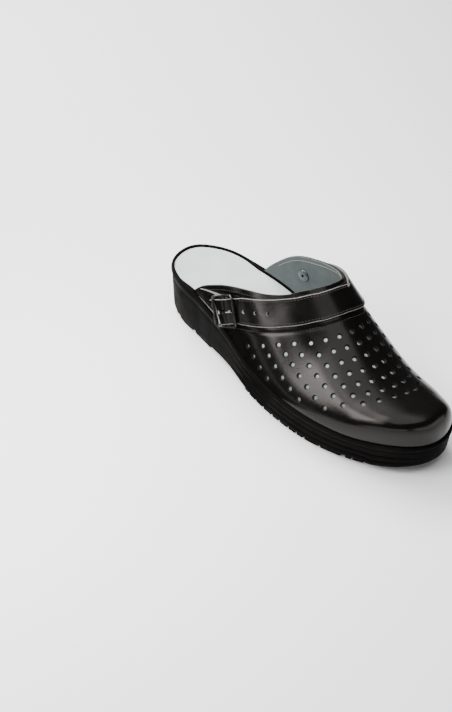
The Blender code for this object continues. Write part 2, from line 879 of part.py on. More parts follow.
def wire_mesh(name, path, radius, collection, cyclic=False):
    """Round wire along a path of points in millimetres, as a mesh."""
    curve = bpy.data.curves.new(name, "CURVE")
    curve.dimensions = "3D"
    curve.bevel_depth = radius * MM
    curve.bevel_resolution = 2
    curve.use_fill_caps = True
    spline = curve.splines.new("POLY")
    spline.points.add(len(path) - 1)
    for point, place in zip(spline.points, path):
        point.co = (*(float(c) * MM for c in place), 1.0)
    spline.use_cyclic_u = cyclic
    wire = bpy.data.objects.new(name, curve)
    collection.objects.link(wire)
    bpy.context.view_layer.update()
    evaluated = wire.evaluated_get(bpy.context.evaluated_depsgraph_get())
    mesh = bpy.data.meshes.new_from_object(evaluated)
    bpy.data.objects.remove(wire)
    shape = bmesh.new()
    shape.from_mesh(mesh)
    bmesh.ops.remove_doubles(shape, verts=shape.verts, dist=1e-6)
    bmesh.ops.recalc_face_normals(shape, faces=shape.faces)
    shape.to_mesh(mesh)
    shape.free()
    mesh.shade_smooth()
    piece = bpy.data.objects.new(name, mesh)
    collection.objects.link(piece)
    return piece


def frame_path():
    """Rounded rectangle of the buckle, bowed over the strap and tilted along it."""
    half_along = BUCKLE_LENGTH / 2 - BUCKLE_WIRE
    half_across = BUCKLE_WIDTH / 2 - BUCKLE_WIRE
    corner = BUCKLE_CORNER
    path = []
    for turn, (sx, sy) in enumerate(((1, 1), (-1, 1), (-1, -1), (1, -1))):
        for i in range(4):
            a = math.pi / 2 * (turn + i / 3)
            along = sx * (half_along - corner) + corner * math.cos(a)
            across = sy * (half_across - corner) + corner * math.sin(a)
            path.append((along, across))
        if sx * sy > 0:
            path.append((sx * corner, sy * half_across))
            path.append((-sx * corner, sy * half_across))
    rise = [FRAME_BOW * (s / half_along) ** 2 - FRAME_TILT * s for s, _ in path]
    return [buckle_point(s, w, BAR_HEIGHT + up) for (s, w), up in zip(path, rise)]


def make_buckle_frame(parts, cutters, material):
    frame = wire_mesh("buckle_frame", frame_path(), BUCKLE_WIRE, parts, cyclic=True)
    reach = BUCKLE_WIDTH / 2 - BUCKLE_WIRE
    bar = [buckle_point(0, w, BAR_HEIGHT) for w in (-reach, 0, reach)]
    bar_wire = wire_mesh("buckle_bar", bar, BAR_RADIUS, cutters)
    bar_wire.hide_render = True
    bar_wire.display_type = "WIRE"
    add_boolean(frame, bar_wire, "UNION")
    frame.data.materials.append(material)
    return frame


def make_buckle_prong(parts, material):
    """Prong that rises from the centre bar through the strap and rests on the front bar."""
    path = [buckle_point(along, 0, height) for along, height in PRONG_PATH]
    prong = wire_mesh("buckle_prong", path, PRONG_WIRE, parts)
    prong.data.materials.append(material)
    return prong


def make_rivet(parts, material):
    """Rivet through strap and upper: head outside, shank, washer inside."""
    turn, angle = rivet_place()
    normal = surface_normal(turn, angle)
    along, _ = slopes(turn, angle)
    first = unit(along)
    second = np.cross(normal, first)
    centre = last_point(turn, angle)
    head = STRAP_THICKNESS + STRAP_GAP + CLEARANCE
    inside = -WALL - 2 * CLEARANCE
    profile = (
        (RIVET_WASHER * 0.55, inside - 0.9),
        (RIVET_WASHER, inside - 0.5),
        (RIVET_WASHER, inside),
        (RIVET_SHANK, inside),
        (RIVET_SHANK, head),
        (RIVET_HEAD, head),
        (RIVET_HEAD, head + 0.4 * RIVET_HEAD_HEIGHT),
        (RIVET_HEAD * 0.6, head + RIVET_HEAD_HEIGHT),
    )
    rings = []
    for radius, height in profile:
        ring = []
        for i in range(RIVET_SIDES):
            a = 2 * math.pi * i / RIVET_SIDES
            ring.append(centre + height * normal + radius * (math.cos(a) * first + math.sin(a) * second))
        rings.append(ring)
    points = []
    faces = []
    tube_rings(rings, points, faces)
    return make_object("medial_rivet", points, faces, parts, material)


def stand_on_origin(pieces):
    """Parents the pieces to an empty that puts the middle of the footprint at the origin."""
    corners = np.array([v.co for piece in pieces for v in piece.data.vertices])
    low = corners.min(axis=0)
    high = corners.max(axis=0)
    stand = bpy.data.objects.new("stand", None)
    bpy.context.scene.collection.objects.link(stand)
    stand.location = (-(low[0] + high[0]) / 2, -(low[1] + high[1]) / 2, 0.0)
    for piece in list(pieces) + list(bpy.data.collections["cutters"].objects):
        piece.parent = stand


def main():
    for old in list(bpy.data.objects):
        bpy.data.objects.remove(old)
    parts = make_collection(OBJECT_NAME)
    cutters = make_collection("cutters")
    leather = make_material("black_leather", (0.012, 0.011, 0.011), 0.32)
    strap_leather = make_material("strap_leather", (0.013, 0.012, 0.012), 0.36)
    sole_foam = make_material("sole_polyurethane", (0.022, 0.021, 0.021), 0.6)
    bed = make_material("insole_leather", (0.78, 0.79, 0.79), 0.75)
    metal = make_material("gunmetal", (0.12, 0.12, 0.125), 0.25, 1.0)
    pieces = [
        make_outsole(parts, cutters, sole_foam),
        make_insole(parts, bed),
        make_upper(parts, cutters, leather),
        make_strap(parts, cutters, strap_leather),
        make_buckle_tab(parts, cutters, strap_leather),
        make_buckle_frame(parts, cutters, metal),
        make_buckle_prong(parts, metal),
        make_rivet(parts, metal),
    ]
    stand_on_origin(pieces)


main()
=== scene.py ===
"""Looks of the right work clog: leather, lining, stitching, moulded sole, insole and buckle.

Lengths are millimetres. X runs from the back of the heel to the toe, Y from the outer (lateral) to the
inner (medial) side, Z up from the floor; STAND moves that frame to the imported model's own.
"""
import math

import bpy
import numpy as np
from mathutils import Matrix, Quaternion, Vector


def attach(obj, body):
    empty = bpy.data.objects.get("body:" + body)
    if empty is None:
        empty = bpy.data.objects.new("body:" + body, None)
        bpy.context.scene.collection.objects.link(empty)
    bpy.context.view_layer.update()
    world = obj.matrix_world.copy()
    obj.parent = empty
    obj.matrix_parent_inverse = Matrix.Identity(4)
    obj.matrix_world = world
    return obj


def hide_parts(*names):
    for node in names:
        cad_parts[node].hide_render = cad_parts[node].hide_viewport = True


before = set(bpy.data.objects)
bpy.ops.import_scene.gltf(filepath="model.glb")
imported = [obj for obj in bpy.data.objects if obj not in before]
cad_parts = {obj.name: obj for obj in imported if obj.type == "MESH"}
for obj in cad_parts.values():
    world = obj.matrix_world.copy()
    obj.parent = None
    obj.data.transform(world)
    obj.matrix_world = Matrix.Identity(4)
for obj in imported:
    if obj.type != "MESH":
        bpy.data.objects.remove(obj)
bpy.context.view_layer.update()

MM = 0.001
STAND = np.array((-140.0, 2.6968, 0.0))

# Sizes shared with the solids
SOLE_LENGTH = 280.0
CLEARANCE = 0.3
SEAT_GAP = 0.7
STRAP_GAP = 0.55
WALL = 2.2
SEAT_INSET = 2.0
RIM_WIDTH = 5.0
HEEL_RIM_WIDTH = 2.8
LATERAL_RIM_RUN = (24.0, 46.0)
MEDIAL_RIM_RUN = (42.0, 64.0)
RECESS_DEPTH = 4.5
INSOLE_THICKNESS = 3.0
HEEL_DISH = 2.0
DISH_BACK = (4.0, 30.0)
DISH_FRONT = (60.0, 130.0)
TREAD_DEPTH = 3.5
STRAP_WIDTH = 21.0
STRAP_THICKNESS = 1.8
STRAP_BLUNT = 2.0
TAB_THICKNESS = 1.5
BUCKLE_WIDTH = 27.0
BUCKLE_LENGTH = 22.0
BUCKLE_WIRE = 1.15
BUCKLE_CORNER = 3.0
BUCKLE_EASE = 0.5
BUCKLE_EASE_RUN = (10.0, 16.0)
BAR_RADIUS = 1.0
KNUCKLE_RADIUS = 2.3
KNUCKLE_BORE = 1.3
KNUCKLE_ENDS = (2.5, 9.5)
PRONG_WIRE = 0.9
BUCKLE_ANGLE = 0.09
BAR_HEIGHT = 4.2
FRAME_BOW = 2.4
FRAME_TILT = 0.18
SLOT_TOP = 14.0
RIVET_ANGLE = 0.9535
RIVET_SHANK = 1.6
RIVET_HEAD = 4.2
RIVET_WASHER = 5.2
RIVET_HEAD_HEIGHT = 1.0
STRAP_END_ANGLE = 0.975
SPARE_HOLE_START = -4.3
SPARE_HOLE_PITCH = 10.4
SPARE_HOLES = 5
SPARE_HOLE_RADIUS = 1.3

# Outline of the sole's rim: turn (0 heel, 1 toe), lateral and medial half width
OUTLINE = np.array((
    (0.0, 0.0, 0.0), (0.1, 20.0, 17.0), (0.2, 30.0, 30.0), (0.3, 34.0, 35.5), (0.4, 40.5, 40.0),
    (0.5, 50.0, 43.0), (0.6, 51.5, 46.5), (0.7, 44.5, 43.0), (0.8, 31.5, 36.0), (0.9, 13.5, 26.5),
    (1.0, -7.0, 7.0),
))
LATERAL, MEDIAL = 1, 2

# Rim: share of the length, height
RIM = np.array((
    (0.0, 48.5), (0.06, 47.0), (0.15, 46.0), (0.3, 42.0), (0.42, 34.0), (0.55, 29.2), (0.65, 26.8),
    (0.8, 26.0), (0.92, 29.3), (1.0, 29.3),
))

# Last: turn, crown height over the rim, crown's place across, squareness of the lateral and medial half
LAST = np.array((
    (0.2, 100.0, 14.0, 2.2, 2.2), (0.3, 96.0, 15.0, 2.0, 2.4), (0.4, 91.5, 20.0, 1.88, 3.0),
    (0.5, 71.5, 20.0, 1.54, 3.1), (0.6, 44.5, 12.0, 1.56, 2.75), (0.7, 27.0, 2.0, 2.4, 2.4),
    (0.8, 22.2, 2.0, 4.0, 2.4), (0.9, 18.8, 7.0, 3.2, 2.4), (1.0, 0.0, 7.0, 3.2, 2.4),
))
CROWN_HEIGHT, CROWN_PLACE, LATERAL_SQUARENESS, MEDIAL_SQUARENESS = 1, 2, 3, 4
SECTION_BLEND = (0.3, 0.7)

# Lines on the upper: angle (0 lateral rim, 1 medial rim), collar, strap's middle
LINES = np.array((
    (0.0, 47.0, 76.0), (0.05, 60.5, 87.8), (0.1, 77.8, 101.0), (0.15, 95.0, 113.8), (0.2, 110.0, 127.0),
    (0.25, 124.3, 139.2), (0.3, 135.8, 149.2), (0.35, 143.3, 155.8), (0.4, 148.8, 160.8),
    (0.5, 154.0, 165.2), (0.6, 153.3, 166.0), (0.65, 150.6, 163.8), (0.7, 145.6, 159.0),
    (0.75, 138.8, 152.2), (0.8, 130.2, 144.5), (0.85, 119.0, 135.2), (0.9, 104.0, 123.8),
    (0.95, 86.2, 108.0), (1.0, 65.8, 83.8),
))
COLLAR, STRAP_LINE = 1, 2

# Columns of punched holes: number, then place and angle of the first, the middle and the last
HOLE_COLUMNS = (
    (4, 125.1, 0.075, 138.0, 0.065, 152.4, 0.048),
    (6, 138.2, 0.132, 159.5, 0.117, 184.6, 0.086),
    (7, 149.6, 0.183, 176.0, 0.174, 206.3, 0.132),
    (7, 159.4, 0.23, 187.5, 0.228, 217.1, 0.222),
    (7, 169.1, 0.281, 198.5, 0.293, 227.9, 0.323),
    (7, 175.9, 0.336, 205.0, 0.365, 234.4, 0.413),
    (7, 181.8, 0.407, 209.7, 0.44, 239.3, 0.481),
    (7, 184.7, 0.479, 212.2, 0.501, 242.8, 0.513),
    (7, 185.2, 0.542, 212.7, 0.564, 244.4, 0.571),
    (7, 184.0, 0.613, 210.8, 0.636, 241.9, 0.662),
    (7, 178.5, 0.695, 205.0, 0.718, 236.0, 0.748),
    (7, 168.5, 0.785, 195.0, 0.805, 225.0, 0.832),
    (6, 155.5, 0.868, 176.5, 0.886, 199.0, 0.908),
    (4, 140.0, 0.928, 153.0, 0.942, 167.0, 0.958),
)

# Side of the sole: share of its height, inset at the smooth heel, inset at the ribbed forefoot
SIDE_PROFILE = np.array((
    (0.0, 2.4, 2.2), (0.05, 1.4, 1.3), (0.16, 1.3, 1.2), (0.2, 1.3, 2.6), (0.25, 1.3, 2.6),
    (0.29, 1.2, 1.1), (0.42, 1.1, 1.0), (0.46, 1.1, 2.5), (0.51, 1.1, 2.5), (0.55, 1.0, 0.9),
    (0.72, 0.9, 0.7), (0.78, 1.2, 1.2), (0.84, 0.6, 0.5), (0.93, 0.0, 0.0), (1.0, 0.9, 0.9),
))
RIBS_BEGIN = (100.0, 135.0)
RIBS_FADE = (255.0, 279.0)

# Tread
HEEL_ROUND = 17.0
HEEL_ROUND_RISE = 5.0
TOE_SPRING_START = 190.0
TOE_SPRING = 9.5
TOE_SPRING_POWER = 1.7
WAIST_START = 72.0
WAIST_END = 122.0
WAIST_RISE = 1.5
WAIST_SOFTNESS = 8.0
TOE_SHALLOW = 0.8
TOE_SHALLOW_RUN = (240.0, 247.0)
LUG_EDGE = 2.9
LUG_ROOT = 1.2

# Lugs along the edge: side (-1 lateral, 1 medial), back end, front end, inner end at the back, at the front
EDGE_LUGS = (
    (-1, 4.0, 19.0, 8.0, 14.0), (-1, 23.0, 44.0, 15.0, 17.0), (-1, 48.0, 70.0, 18.0, 18.0),
    (-1, 124.0, 129.0, 30.0, 30.0), (-1, 130.8, 138.8, 30.0, 31.0), (-1, 140.6, 148.2, 31.0, 31.0),
    (-1, 150.2, 159.0, 31.0, 31.5), (-1, 160.8, 167.3, 31.5, 32.0), (-1, 169.2, 176.8, 32.0, 32.0),
    (-1, 178.6, 185.3, 32.0, 31.5), (-1, 187.0, 192.5, 31.0, 30.5), (-1, 194.4, 207.0, 30.5, 29.0),
    (-1, 209.0, 225.4, 28.0, 21.0), (-1, 229.4, 233.6, 20.0, 18.0), (-1, 235.2, 243.0, 17.5, 14.5),
    (1, 4.0, 19.0, 8.0, 14.0), (1, 23.0, 44.0, 15.0, 17.0),
    (1, 48.0, 70.0, 18.0, 18.0), (1, 98.0, 108.0, 26.0, 27.0), (1, 112.0, 126.0, 27.0, 28.0),
    (1, 131.0, 146.0, 29.0, 30.0), (1, 150.0, 163.0, 30.0, 31.0), (1, 168.0, 199.0, 31.0, 28.0),
    (1, 204.0, 238.0, 27.0, 18.0),
)

# Blocks in the middle: back end, front end, lateral edge, medial edge, lean to the medial side
MIDDLE_BLOCKS = (
    (8.0, 24.0, -3.5, 6.0, 0.0), (29.0, 47.0, -10.0, 10.5, 0.0), (51.0, 69.0, -13.0, 13.5, 0.0),
    (123.0, 147.0, -25.0, -3.0, 2.0), (126.0, 147.0, 1.0, 22.0, 2.0), (151.0, 179.0, -27.0, -16.0, 2.0),
    (151.0, 179.0, -12.5, -3.5, 2.0), (152.0, 178.0, 1.0, 25.0, 1.0), (184.0, 205.0, -26.0, -10.0, 3.0),
    (184.0, 200.0, -6.0, 5.0, 3.0), (182.0, 199.0, 10.0, 24.0, 1.0), (209.0, 239.0, -21.0, -1.0, 7.0),
    (204.0, 230.0, 4.5, 16.5, 2.5),
)
BLOCK_CHAMFER = 3.0
TOE_RIBS = ((247.0, 253.0), (256.0, 261.5), (264.5, 270.0))
RIB_WAVE = 1.5

# Buckle tab: upper corner's place and angle, lower corner's place and angle, lift off the upper
BUCKLE_TAB = np.array((
    (60.2, 0.0447, 58.5, 0.0115, 0.3), (67.5, 0.0606, 66.0, 0.012, 0.3), (75.2, 0.0755, 74.5, 0.0123, 0.3),
    (82.3, 0.0905, 84.0, 0.0126, 0.5), (87.6, 0.102, 95.0, 0.0365, 0.8), (93.5, 0.116, 103.5, 0.064, 1.1),
))

# Strap over the buckle: distance along the strap from the centre bar, lift off the upper
STRAP_LIFT = np.array((
    (-15.0, 4.7), (-10.0, 5.1), (-5.0, 6.3), (0.0, 6.9), (4.0, 5.4), (7.0, 3.2), (10.0, 1.2), (14.0, 0.55),
    (18.0, STRAP_GAP), (24.0, STRAP_GAP),
))
PRONG_PATH = np.array(((0.2, 6.4), (1.2, 8.5), (3.0, 9.4), (5.5, 9.0), (7.8, 8.0), (9.6, 7.2)))
PRONG_SLOT = (-2.2, 3.6, 1.6)

# Upper's net
TOE_START = 0.8
TOE_CORNER = 0.87
TOE_CROWDING = 1.5
VAMP_SHARE = 0.72


# Shape of the last and the sole

def curve(table, column, at):
    """Smooth curve through a table's column."""
    places = table[:, 0]
    values = table[:, column]
    slope = np.empty(len(places))
    slope[1:-1] = (values[2:] - values[:-2]) / (places[2:] - places[:-2])
    slope[0] = (values[1] - values[0]) / (places[1] - places[0])
    slope[-1] = (values[-1] - values[-2]) / (places[-1] - places[-2])
    at = np.asarray(at, float)
    low = np.clip(np.searchsorted(places, at, side="right") - 1, 0, len(places) - 2)
    width = places[low + 1] - places[low]
    t = np.clip((at - places[low]) / width, 0.0, 1.0)
    start = values[low] * (2 * t**3 - 3 * t**2 + 1) + slope[low] * width * (t**3 - 2 * t**2 + t)
    end = values[low + 1] * (3 * t**2 - 2 * t**3) + slope[low + 1] * width * (t**3 - t**2)
    return start + end


def ease(value, start, end):
    t = np.clip((np.asarray(value, float) - start) / (end - start), 0.0, 1.0)
    return t * t * (3 - 2 * t)


def station(turn):
    return SOLE_LENGTH * (1 - np.cos(np.pi * np.asarray(turn, float))) / 2


def turn_at(x):
    return np.arccos(np.clip(1 - 2 * np.asarray(x, float) / SOLE_LENGTH, -1.0, 1.0)) / np.pi


def rim_height(x):
    return curve(RIM, 1, np.asarray(x) / SOLE_LENGTH)


def floor_height(x):
    x = np.asarray(x, float)
    heel = HEEL_ROUND_RISE * np.maximum(1 - x / HEEL_ROUND, 0.0) ** 2
    reach = np.maximum((x - TOE_SPRING_START) / (SOLE_LENGTH - TOE_SPRING_START), 0.0)
    return heel + TOE_SPRING * reach**TOE_SPRING_POWER


def base_height(x):
    middle = (WAIST_START + WAIST_END) / 2
    rise = ease(x, WAIST_START - WAIST_SOFTNESS, middle)
    waist = rise * (1 - ease(x, middle, WAIST_END + WAIST_SOFTNESS))
    shallow = 1 - TOE_SHALLOW * ease(x, *TOE_SHALLOW_RUN)
    return floor_height(x) + TREAD_DEPTH * shallow + WAIST_RISE * waist


def rim_width(x, side):
    run = np.where(side < 0, ease(x, *LATERAL_RIM_RUN), ease(x, *MEDIAL_RIM_RUN))
    return HEEL_RIM_WIDTH + (RIM_WIDTH - HEEL_RIM_WIDTH) * run


def half_width(turn, side):
    return np.where(side < 0, curve(OUTLINE, LATERAL, turn), curve(OUTLINE, MEDIAL, turn))


def outline(turn, side, inset):
    """Points of the sole's outline, moved inwards by the inset."""
    step = 1e-4
    before = np.maximum(turn - step, 0.0)
    after = np.minimum(turn + step, 1.0)
    dx = station(after) - station(before)
    dy = side * (half_width(after, side) - half_width(before, side))
    length = np.hypot(dx, dy)
    x = station(turn) + inset * side * dy / length
    y = side * (half_width(turn, side) - inset * dx / length)
    return x, y


def last_surface(turn, angle):
    """Outer surface of the upper, as rows of points."""
    turn = np.asarray(turn, float)
    angle = np.asarray(angle, float)
    lateral = outline(turn, -1, SEAT_INSET)
    medial = outline(turn, 1, SEAT_INSET)
    blend = ease(angle, *SECTION_BLEND)
    lateral_part = curve(LAST, LATERAL_SQUARENESS, turn) * (1 - blend)
    power = 2 / (lateral_part + curve(LAST, MEDIAL_SQUARENESS, turn) * blend)
    reach = np.abs(np.cos(np.pi * angle)) ** power
    on_lateral = angle < 0.5
    foot_x = np.where(on_lateral, lateral[0], medial[0])
    foot_y = np.where(on_lateral, lateral[1], medial[1])
    crown_x = (lateral[0] + medial[0]) / 2
    crown_y = np.minimum(np.maximum(curve(LAST, CROWN_PLACE, turn), lateral[1]), medial[1])
    x = crown_x + (foot_x - crown_x) * reach
    y = crown_y + (foot_y - crown_y) * reach
    rise = curve(LAST, CROWN_HEIGHT, turn) * np.maximum(np.sin(np.pi * angle), 0.0) ** power
    return np.stack((x, y, rim_height(x) + SEAT_GAP + rise), axis=-1)


def slopes(turn, angle):
    step = 1e-4
    along = last_surface(turn + step, angle) - last_surface(turn - step, angle)
    low = np.maximum(angle - step, 0.0)
    high = np.minimum(angle + step, 1.0)
    around = last_surface(turn, high) - last_surface(turn, low)
    return along / (2 * step), around / (high - low)[..., None]


def unit(vectors):
    return vectors / np.linalg.norm(vectors, axis=-1, keepdims=True)


def surface_normal(turn, angle):
    along, around = slopes(np.asarray(turn, float), np.asarray(angle, float))
    return unit(np.cross(along, around))


def off_surface(turn, angle, lift):
    lift = np.asarray(lift, float)[..., None]
    return last_surface(turn, angle) + lift * surface_normal(turn, angle)


def walk(turn, angle, vectors, steps=4):
    """Turn and angle reached by walking over the upper along vectors."""
    for _ in range(steps):
        along, around = slopes(turn, angle)
        aa = (along * along).sum(-1)
        ab = (along * around).sum(-1)
        bb = (around * around).sum(-1)
        va = (along * vectors).sum(-1) / steps
        vb = (around * vectors).sum(-1) / steps
        det = aa * bb - ab * ab
        turn = turn + (bb * va - ab * vb) / det
        angle = np.clip(angle + (aa * vb - ab * va) / det, 0.0, 1.0)
    return turn, angle


def line_turn(column, angle):
    return turn_at(curve(LINES, column, angle))


# Strap's own line: angle by distance from the buckle's centre bar

STRAP_ANGLES = np.linspace(0.02, 0.99, 1500)
STRAP_SPOTS = last_surface(line_turn(STRAP_LINE, STRAP_ANGLES), STRAP_ANGLES)
STRAP_RUN = np.concatenate(((0.0,), np.cumsum(np.linalg.norm(np.diff(STRAP_SPOTS, axis=0), axis=1))))
STRAP_RUN -= np.interp(BUCKLE_ANGLE, STRAP_ANGLES, STRAP_RUN)
STRAP_TAIL = STRAP_LIFT[0, 0]
STRAP_END = float(np.interp(STRAP_END_ANGLE, STRAP_ANGLES, STRAP_RUN))


def strap_stop(distance):
    """Turn, angle and directions (across, along, normal) of places on the strap's middle line."""
    angle = np.interp(distance, STRAP_RUN, STRAP_ANGLES)
    step = 1e-3
    turn = line_turn(STRAP_LINE, angle)
    before = last_surface(line_turn(STRAP_LINE, angle - step), angle - step)
    after = last_surface(line_turn(STRAP_LINE, angle + step), angle + step)
    along = unit(after - before)
    normal = surface_normal(turn, angle)
    return turn, angle, unit(np.cross(normal, along)), along, normal


def strap_point(distance, across, lift):
    """Points on the strap: distance along it, reach across it in millimetres, lift off the upper."""
    distance, across, lift = np.broadcast_arrays(
        np.asarray(distance, float), np.asarray(across, float), np.asarray(lift, float))
    turn, angle, side, _, _ = strap_stop(distance)
    return off_surface(*walk(turn, angle, side * across[..., None]), lift)


def strap_lift(distance):
    return np.where(distance < STRAP_LIFT[-1, 0], curve(STRAP_LIFT, 1, distance), STRAP_GAP)


def strap_half_width(distance):
    half = STRAP_WIDTH / 2 - BUCKLE_EASE * (1 - ease(np.abs(distance), *BUCKLE_EASE_RUN))
    short = np.maximum(half - (STRAP_END - distance), 0.0)
    return np.minimum(np.sqrt(np.maximum(half**2 - short**2, STRAP_BLUNT**2)), half)


BUCKLE_STOP = strap_stop(np.array(0.0))
BUCKLE_SPOT = last_surface(BUCKLE_STOP[0], BUCKLE_STOP[1])


def buckle_point(along, across, height):
    """Points in the buckle's own axes: along the strap, across it, and off the upper."""
    _, _, side, forward, normal = BUCKLE_STOP
    along, across, height = (np.asarray(v, float)[..., None] for v in (along, across, height))
    return BUCKLE_SPOT + along * forward + across * side + height * normal


# Modelling

def pick(*pieces):
    """Selects only these objects, or none; the last one is active."""
    bpy.ops.object.select_all(action="DESELECT")
    for piece in pieces:
        piece.select_set(True)
        bpy.context.view_layer.objects.active = piece


def edit(piece, *steps):
    """Runs edit-mode steps on a piece with all of it selected."""
    pick(piece)
    bpy.ops.object.mode_set(mode="EDIT")
    bpy.ops.mesh.select_all(action="SELECT")
    for step in steps:
        step()
    bpy.ops.object.mode_set(mode="OBJECT")


def weld():
    bpy.ops.mesh.remove_doubles(threshold=2e-6)


def face_outwards():
    bpy.ops.mesh.normals_make_consistent(inside=False)


def apply(piece, kind, **settings):
    """Adds a modifier and applies it."""
    modifier = piece.modifiers.new(kind.title(), kind)
    for key, value in settings.items():
        setattr(modifier, key, value)
    pick(piece)
    bpy.ops.object.modifier_apply(modifier=modifier.name)


def move_points(piece, points):
    """Places a piece's vertices, given in millimetres."""
    placed = (np.asarray(points) + STAND) * MM
    piece.data.vertices.foreach_set("co", placed.astype(np.float32).ravel())
    piece.data.update()


def net(name, rows):
    """Grid whose points are placed from an array of rows of points."""
    rows = np.asarray(rows)
    pick()
    high, wide = rows.shape[0] - 1, rows.shape[1] - 1
    bpy.ops.mesh.primitive_grid_add(x_subdivisions=wide, y_subdivisions=high, size=2.0)
    piece = bpy.context.object
    piece.name = name
    piece.data.name = name
    flat = np.empty(len(piece.data.vertices) * 3, np.float32)
    piece.data.vertices.foreach_get("co", flat)
    flat = flat.reshape(-1, 3)
    column = np.rint((flat[:, 0] + 1) / 2 * wide).astype(int)
    row = np.rint((flat[:, 1] + 1) / 2 * high).astype(int)
    move_points(piece, rows[row, column])
    return piece


def join(name, pieces):
    pick(*pieces)
    if len(pieces) > 1:
        bpy.ops.object.join()
    piece = bpy.context.view_layer.objects.active
    piece.name = name
    piece.data.name = name
    return piece


def copies(model, places):
    """Copies of a model, each with its own mesh, set by axes and a spot in millimetres; the model goes."""
    made = []
    for spot, first, second, third in places:
        twin = bpy.data.objects.new(model.name, model.data.copy())
        bpy.context.scene.collection.objects.link(twin)
        turn = Matrix((first, second, third)).transposed().to_4x4()
        twin.data.transform(Matrix.Translation(Vector((spot + STAND) * MM)) @ turn)
        made.append(twin)
    bpy.data.objects.remove(model)
    return made


def cut(piece, tool, operation="DIFFERENCE"):
    """Boolean with a tool that goes afterwards; cut faces take the tool's material."""
    apply(piece, "BOOLEAN", operation=operation, solver="EXACT", object=tool, material_mode="TRANSFER")
    bpy.data.objects.remove(tool)


def dress(piece, *materials):
    for material in materials:
        piece.data.materials.append(material)


def smooth_shade(piece, degrees):
    pick(piece)
    bpy.ops.object.shade_smooth_by_angle(angle=math.radians(degrees))


def finish_piece(piece, slot, *nodes):
    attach(piece, "root")
    if nodes:
        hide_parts(*nodes)


def tube(name, path, radius, sides, closed=False):
    """Round wire along a path; radius may vary along it."""
    path = np.asarray(path, float)
    radius = np.broadcast_to(np.asarray(radius, float), len(path))
    if closed:
        ahead = np.roll(path, -1, axis=0) - np.roll(path, 1, axis=0)
    else:
        ahead = np.gradient(path, axis=0)
    ahead = unit(ahead)
    side = np.empty_like(path)
    side[0] = unit(np.cross(ahead[0], BUCKLE_STOP[4]))
    for i in range(1, len(path)):
        side[i] = unit(side[i - 1] - ahead[i] * (side[i - 1] @ ahead[i]))
    other = np.cross(ahead, side)
    around = np.linspace(0, 2 * np.pi, sides + 1)
    ring = np.cos(around)[:, None, None] * side + np.sin(around)[:, None, None] * other
    rows = path + ring * radius[:, None]
    if closed:
        rows = np.concatenate((rows, rows[:, :1]), axis=1)
    else:
        ends = [np.repeat(path[k][None, None], sides + 1, axis=0) for k in (0, -1)]
        rows = np.concatenate((ends[0], rows, ends[1]), axis=1)
    piece = net(name, rows)
    edit(piece, weld, face_outwards)
    return piece


# Materials

def node(material, kind, **inputs):
    made = material.node_tree.nodes.new(kind)
    for key, value in inputs.items():
        if key in made.inputs:
            made.inputs[key].default_value = value
        else:
            setattr(made, key, value)
    return made


def link(material, source, target):
    material.node_tree.links.new(source, target)


SOCKETS = {
    "metallic": "Metallic",
    "coat": "Coat Weight",
    "coat_roughness": "Coat Roughness",
    "sheen": "Sheen Weight",
    "sheen_roughness": "Sheen Roughness",
    "specular": "Specular IOR Level",
    "specular_tint": "Specular Tint",
}


def surface(name, colour, roughness, **sockets):
    """New Principled material; returns it, its shader and an object-coordinate output."""
    material = bpy.data.materials.new(name)
    material.use_nodes = True
    shader = material.node_tree.nodes["Principled BSDF"]
    shader.inputs["Base Color"].default_value = (*colour, 1.0)
    shader.inputs["Roughness"].default_value = roughness
    for key, value in sockets.items():
        shader.inputs[SOCKETS[key]].default_value = value
    place = node(material, "ShaderNodeTexCoord").outputs["Object"]
    return material, shader, place


def noise(material, place, scale, detail=3.0, roughness=0.5):
    texture = node(material, "ShaderNodeTexNoise", Scale=scale, Detail=detail, Roughness=roughness)
    link(material, place, texture.inputs["Vector"])
    return texture.outputs["Fac"]


def cells(material, place, scale, feature="F1"):
    texture = node(material, "ShaderNodeTexVoronoi", Scale=scale)
    texture.feature = feature
    link(material, place, texture.inputs["Vector"])
    return texture.outputs["Distance"]


def ramp(material, value, low, high, from_low=0.3, from_high=0.7):
    """Colour between low and high as a value goes from from_low to from_high."""
    made = node(material, "ShaderNodeValToRGB")
    made.color_ramp.elements[0].position = from_low
    made.color_ramp.elements[0].color = (*low, 1.0)
    made.color_ramp.elements[1].position = from_high
    made.color_ramp.elements[1].color = (*high, 1.0)
    link(material, value, made.inputs["Fac"])
    return made.outputs["Color"]


def spread(material, value, low, high, from_low=0.3, from_high=0.7):
    """Number between low and high."""
    made = node(material, "ShaderNodeMapRange")
    for key, number in (("From Min", from_low), ("From Max", from_high), ("To Min", low), ("To Max", high)):
        made.inputs[key].default_value = number
    link(material, value, made.inputs["Value"])
    return made.outputs["Result"]


def tint(material, shader, value, low, high):
    """Base colour between low and high, steered by a value."""
    link(material, ramp(material, value, low, high), shader.inputs["Base Color"])


def polish(material, shader, value, low, high):
    """Roughness between low and high, steered by a value."""
    link(material, spread(material, value, low, high), shader.inputs["Roughness"])


def relief(material, shader, heights):
    """Stacks bumps: (height output, strength, depth in metres)."""
    normal = None
    for height, strength, depth in heights:
        made = node(material, "ShaderNodeBump", Strength=strength, Distance=depth)
        link(material, height, made.inputs["Height"])
        if normal is not None:
            link(material, normal, made.inputs["Normal"])
        normal = made.outputs["Normal"]
    link(material, normal, shader.inputs["Normal"])


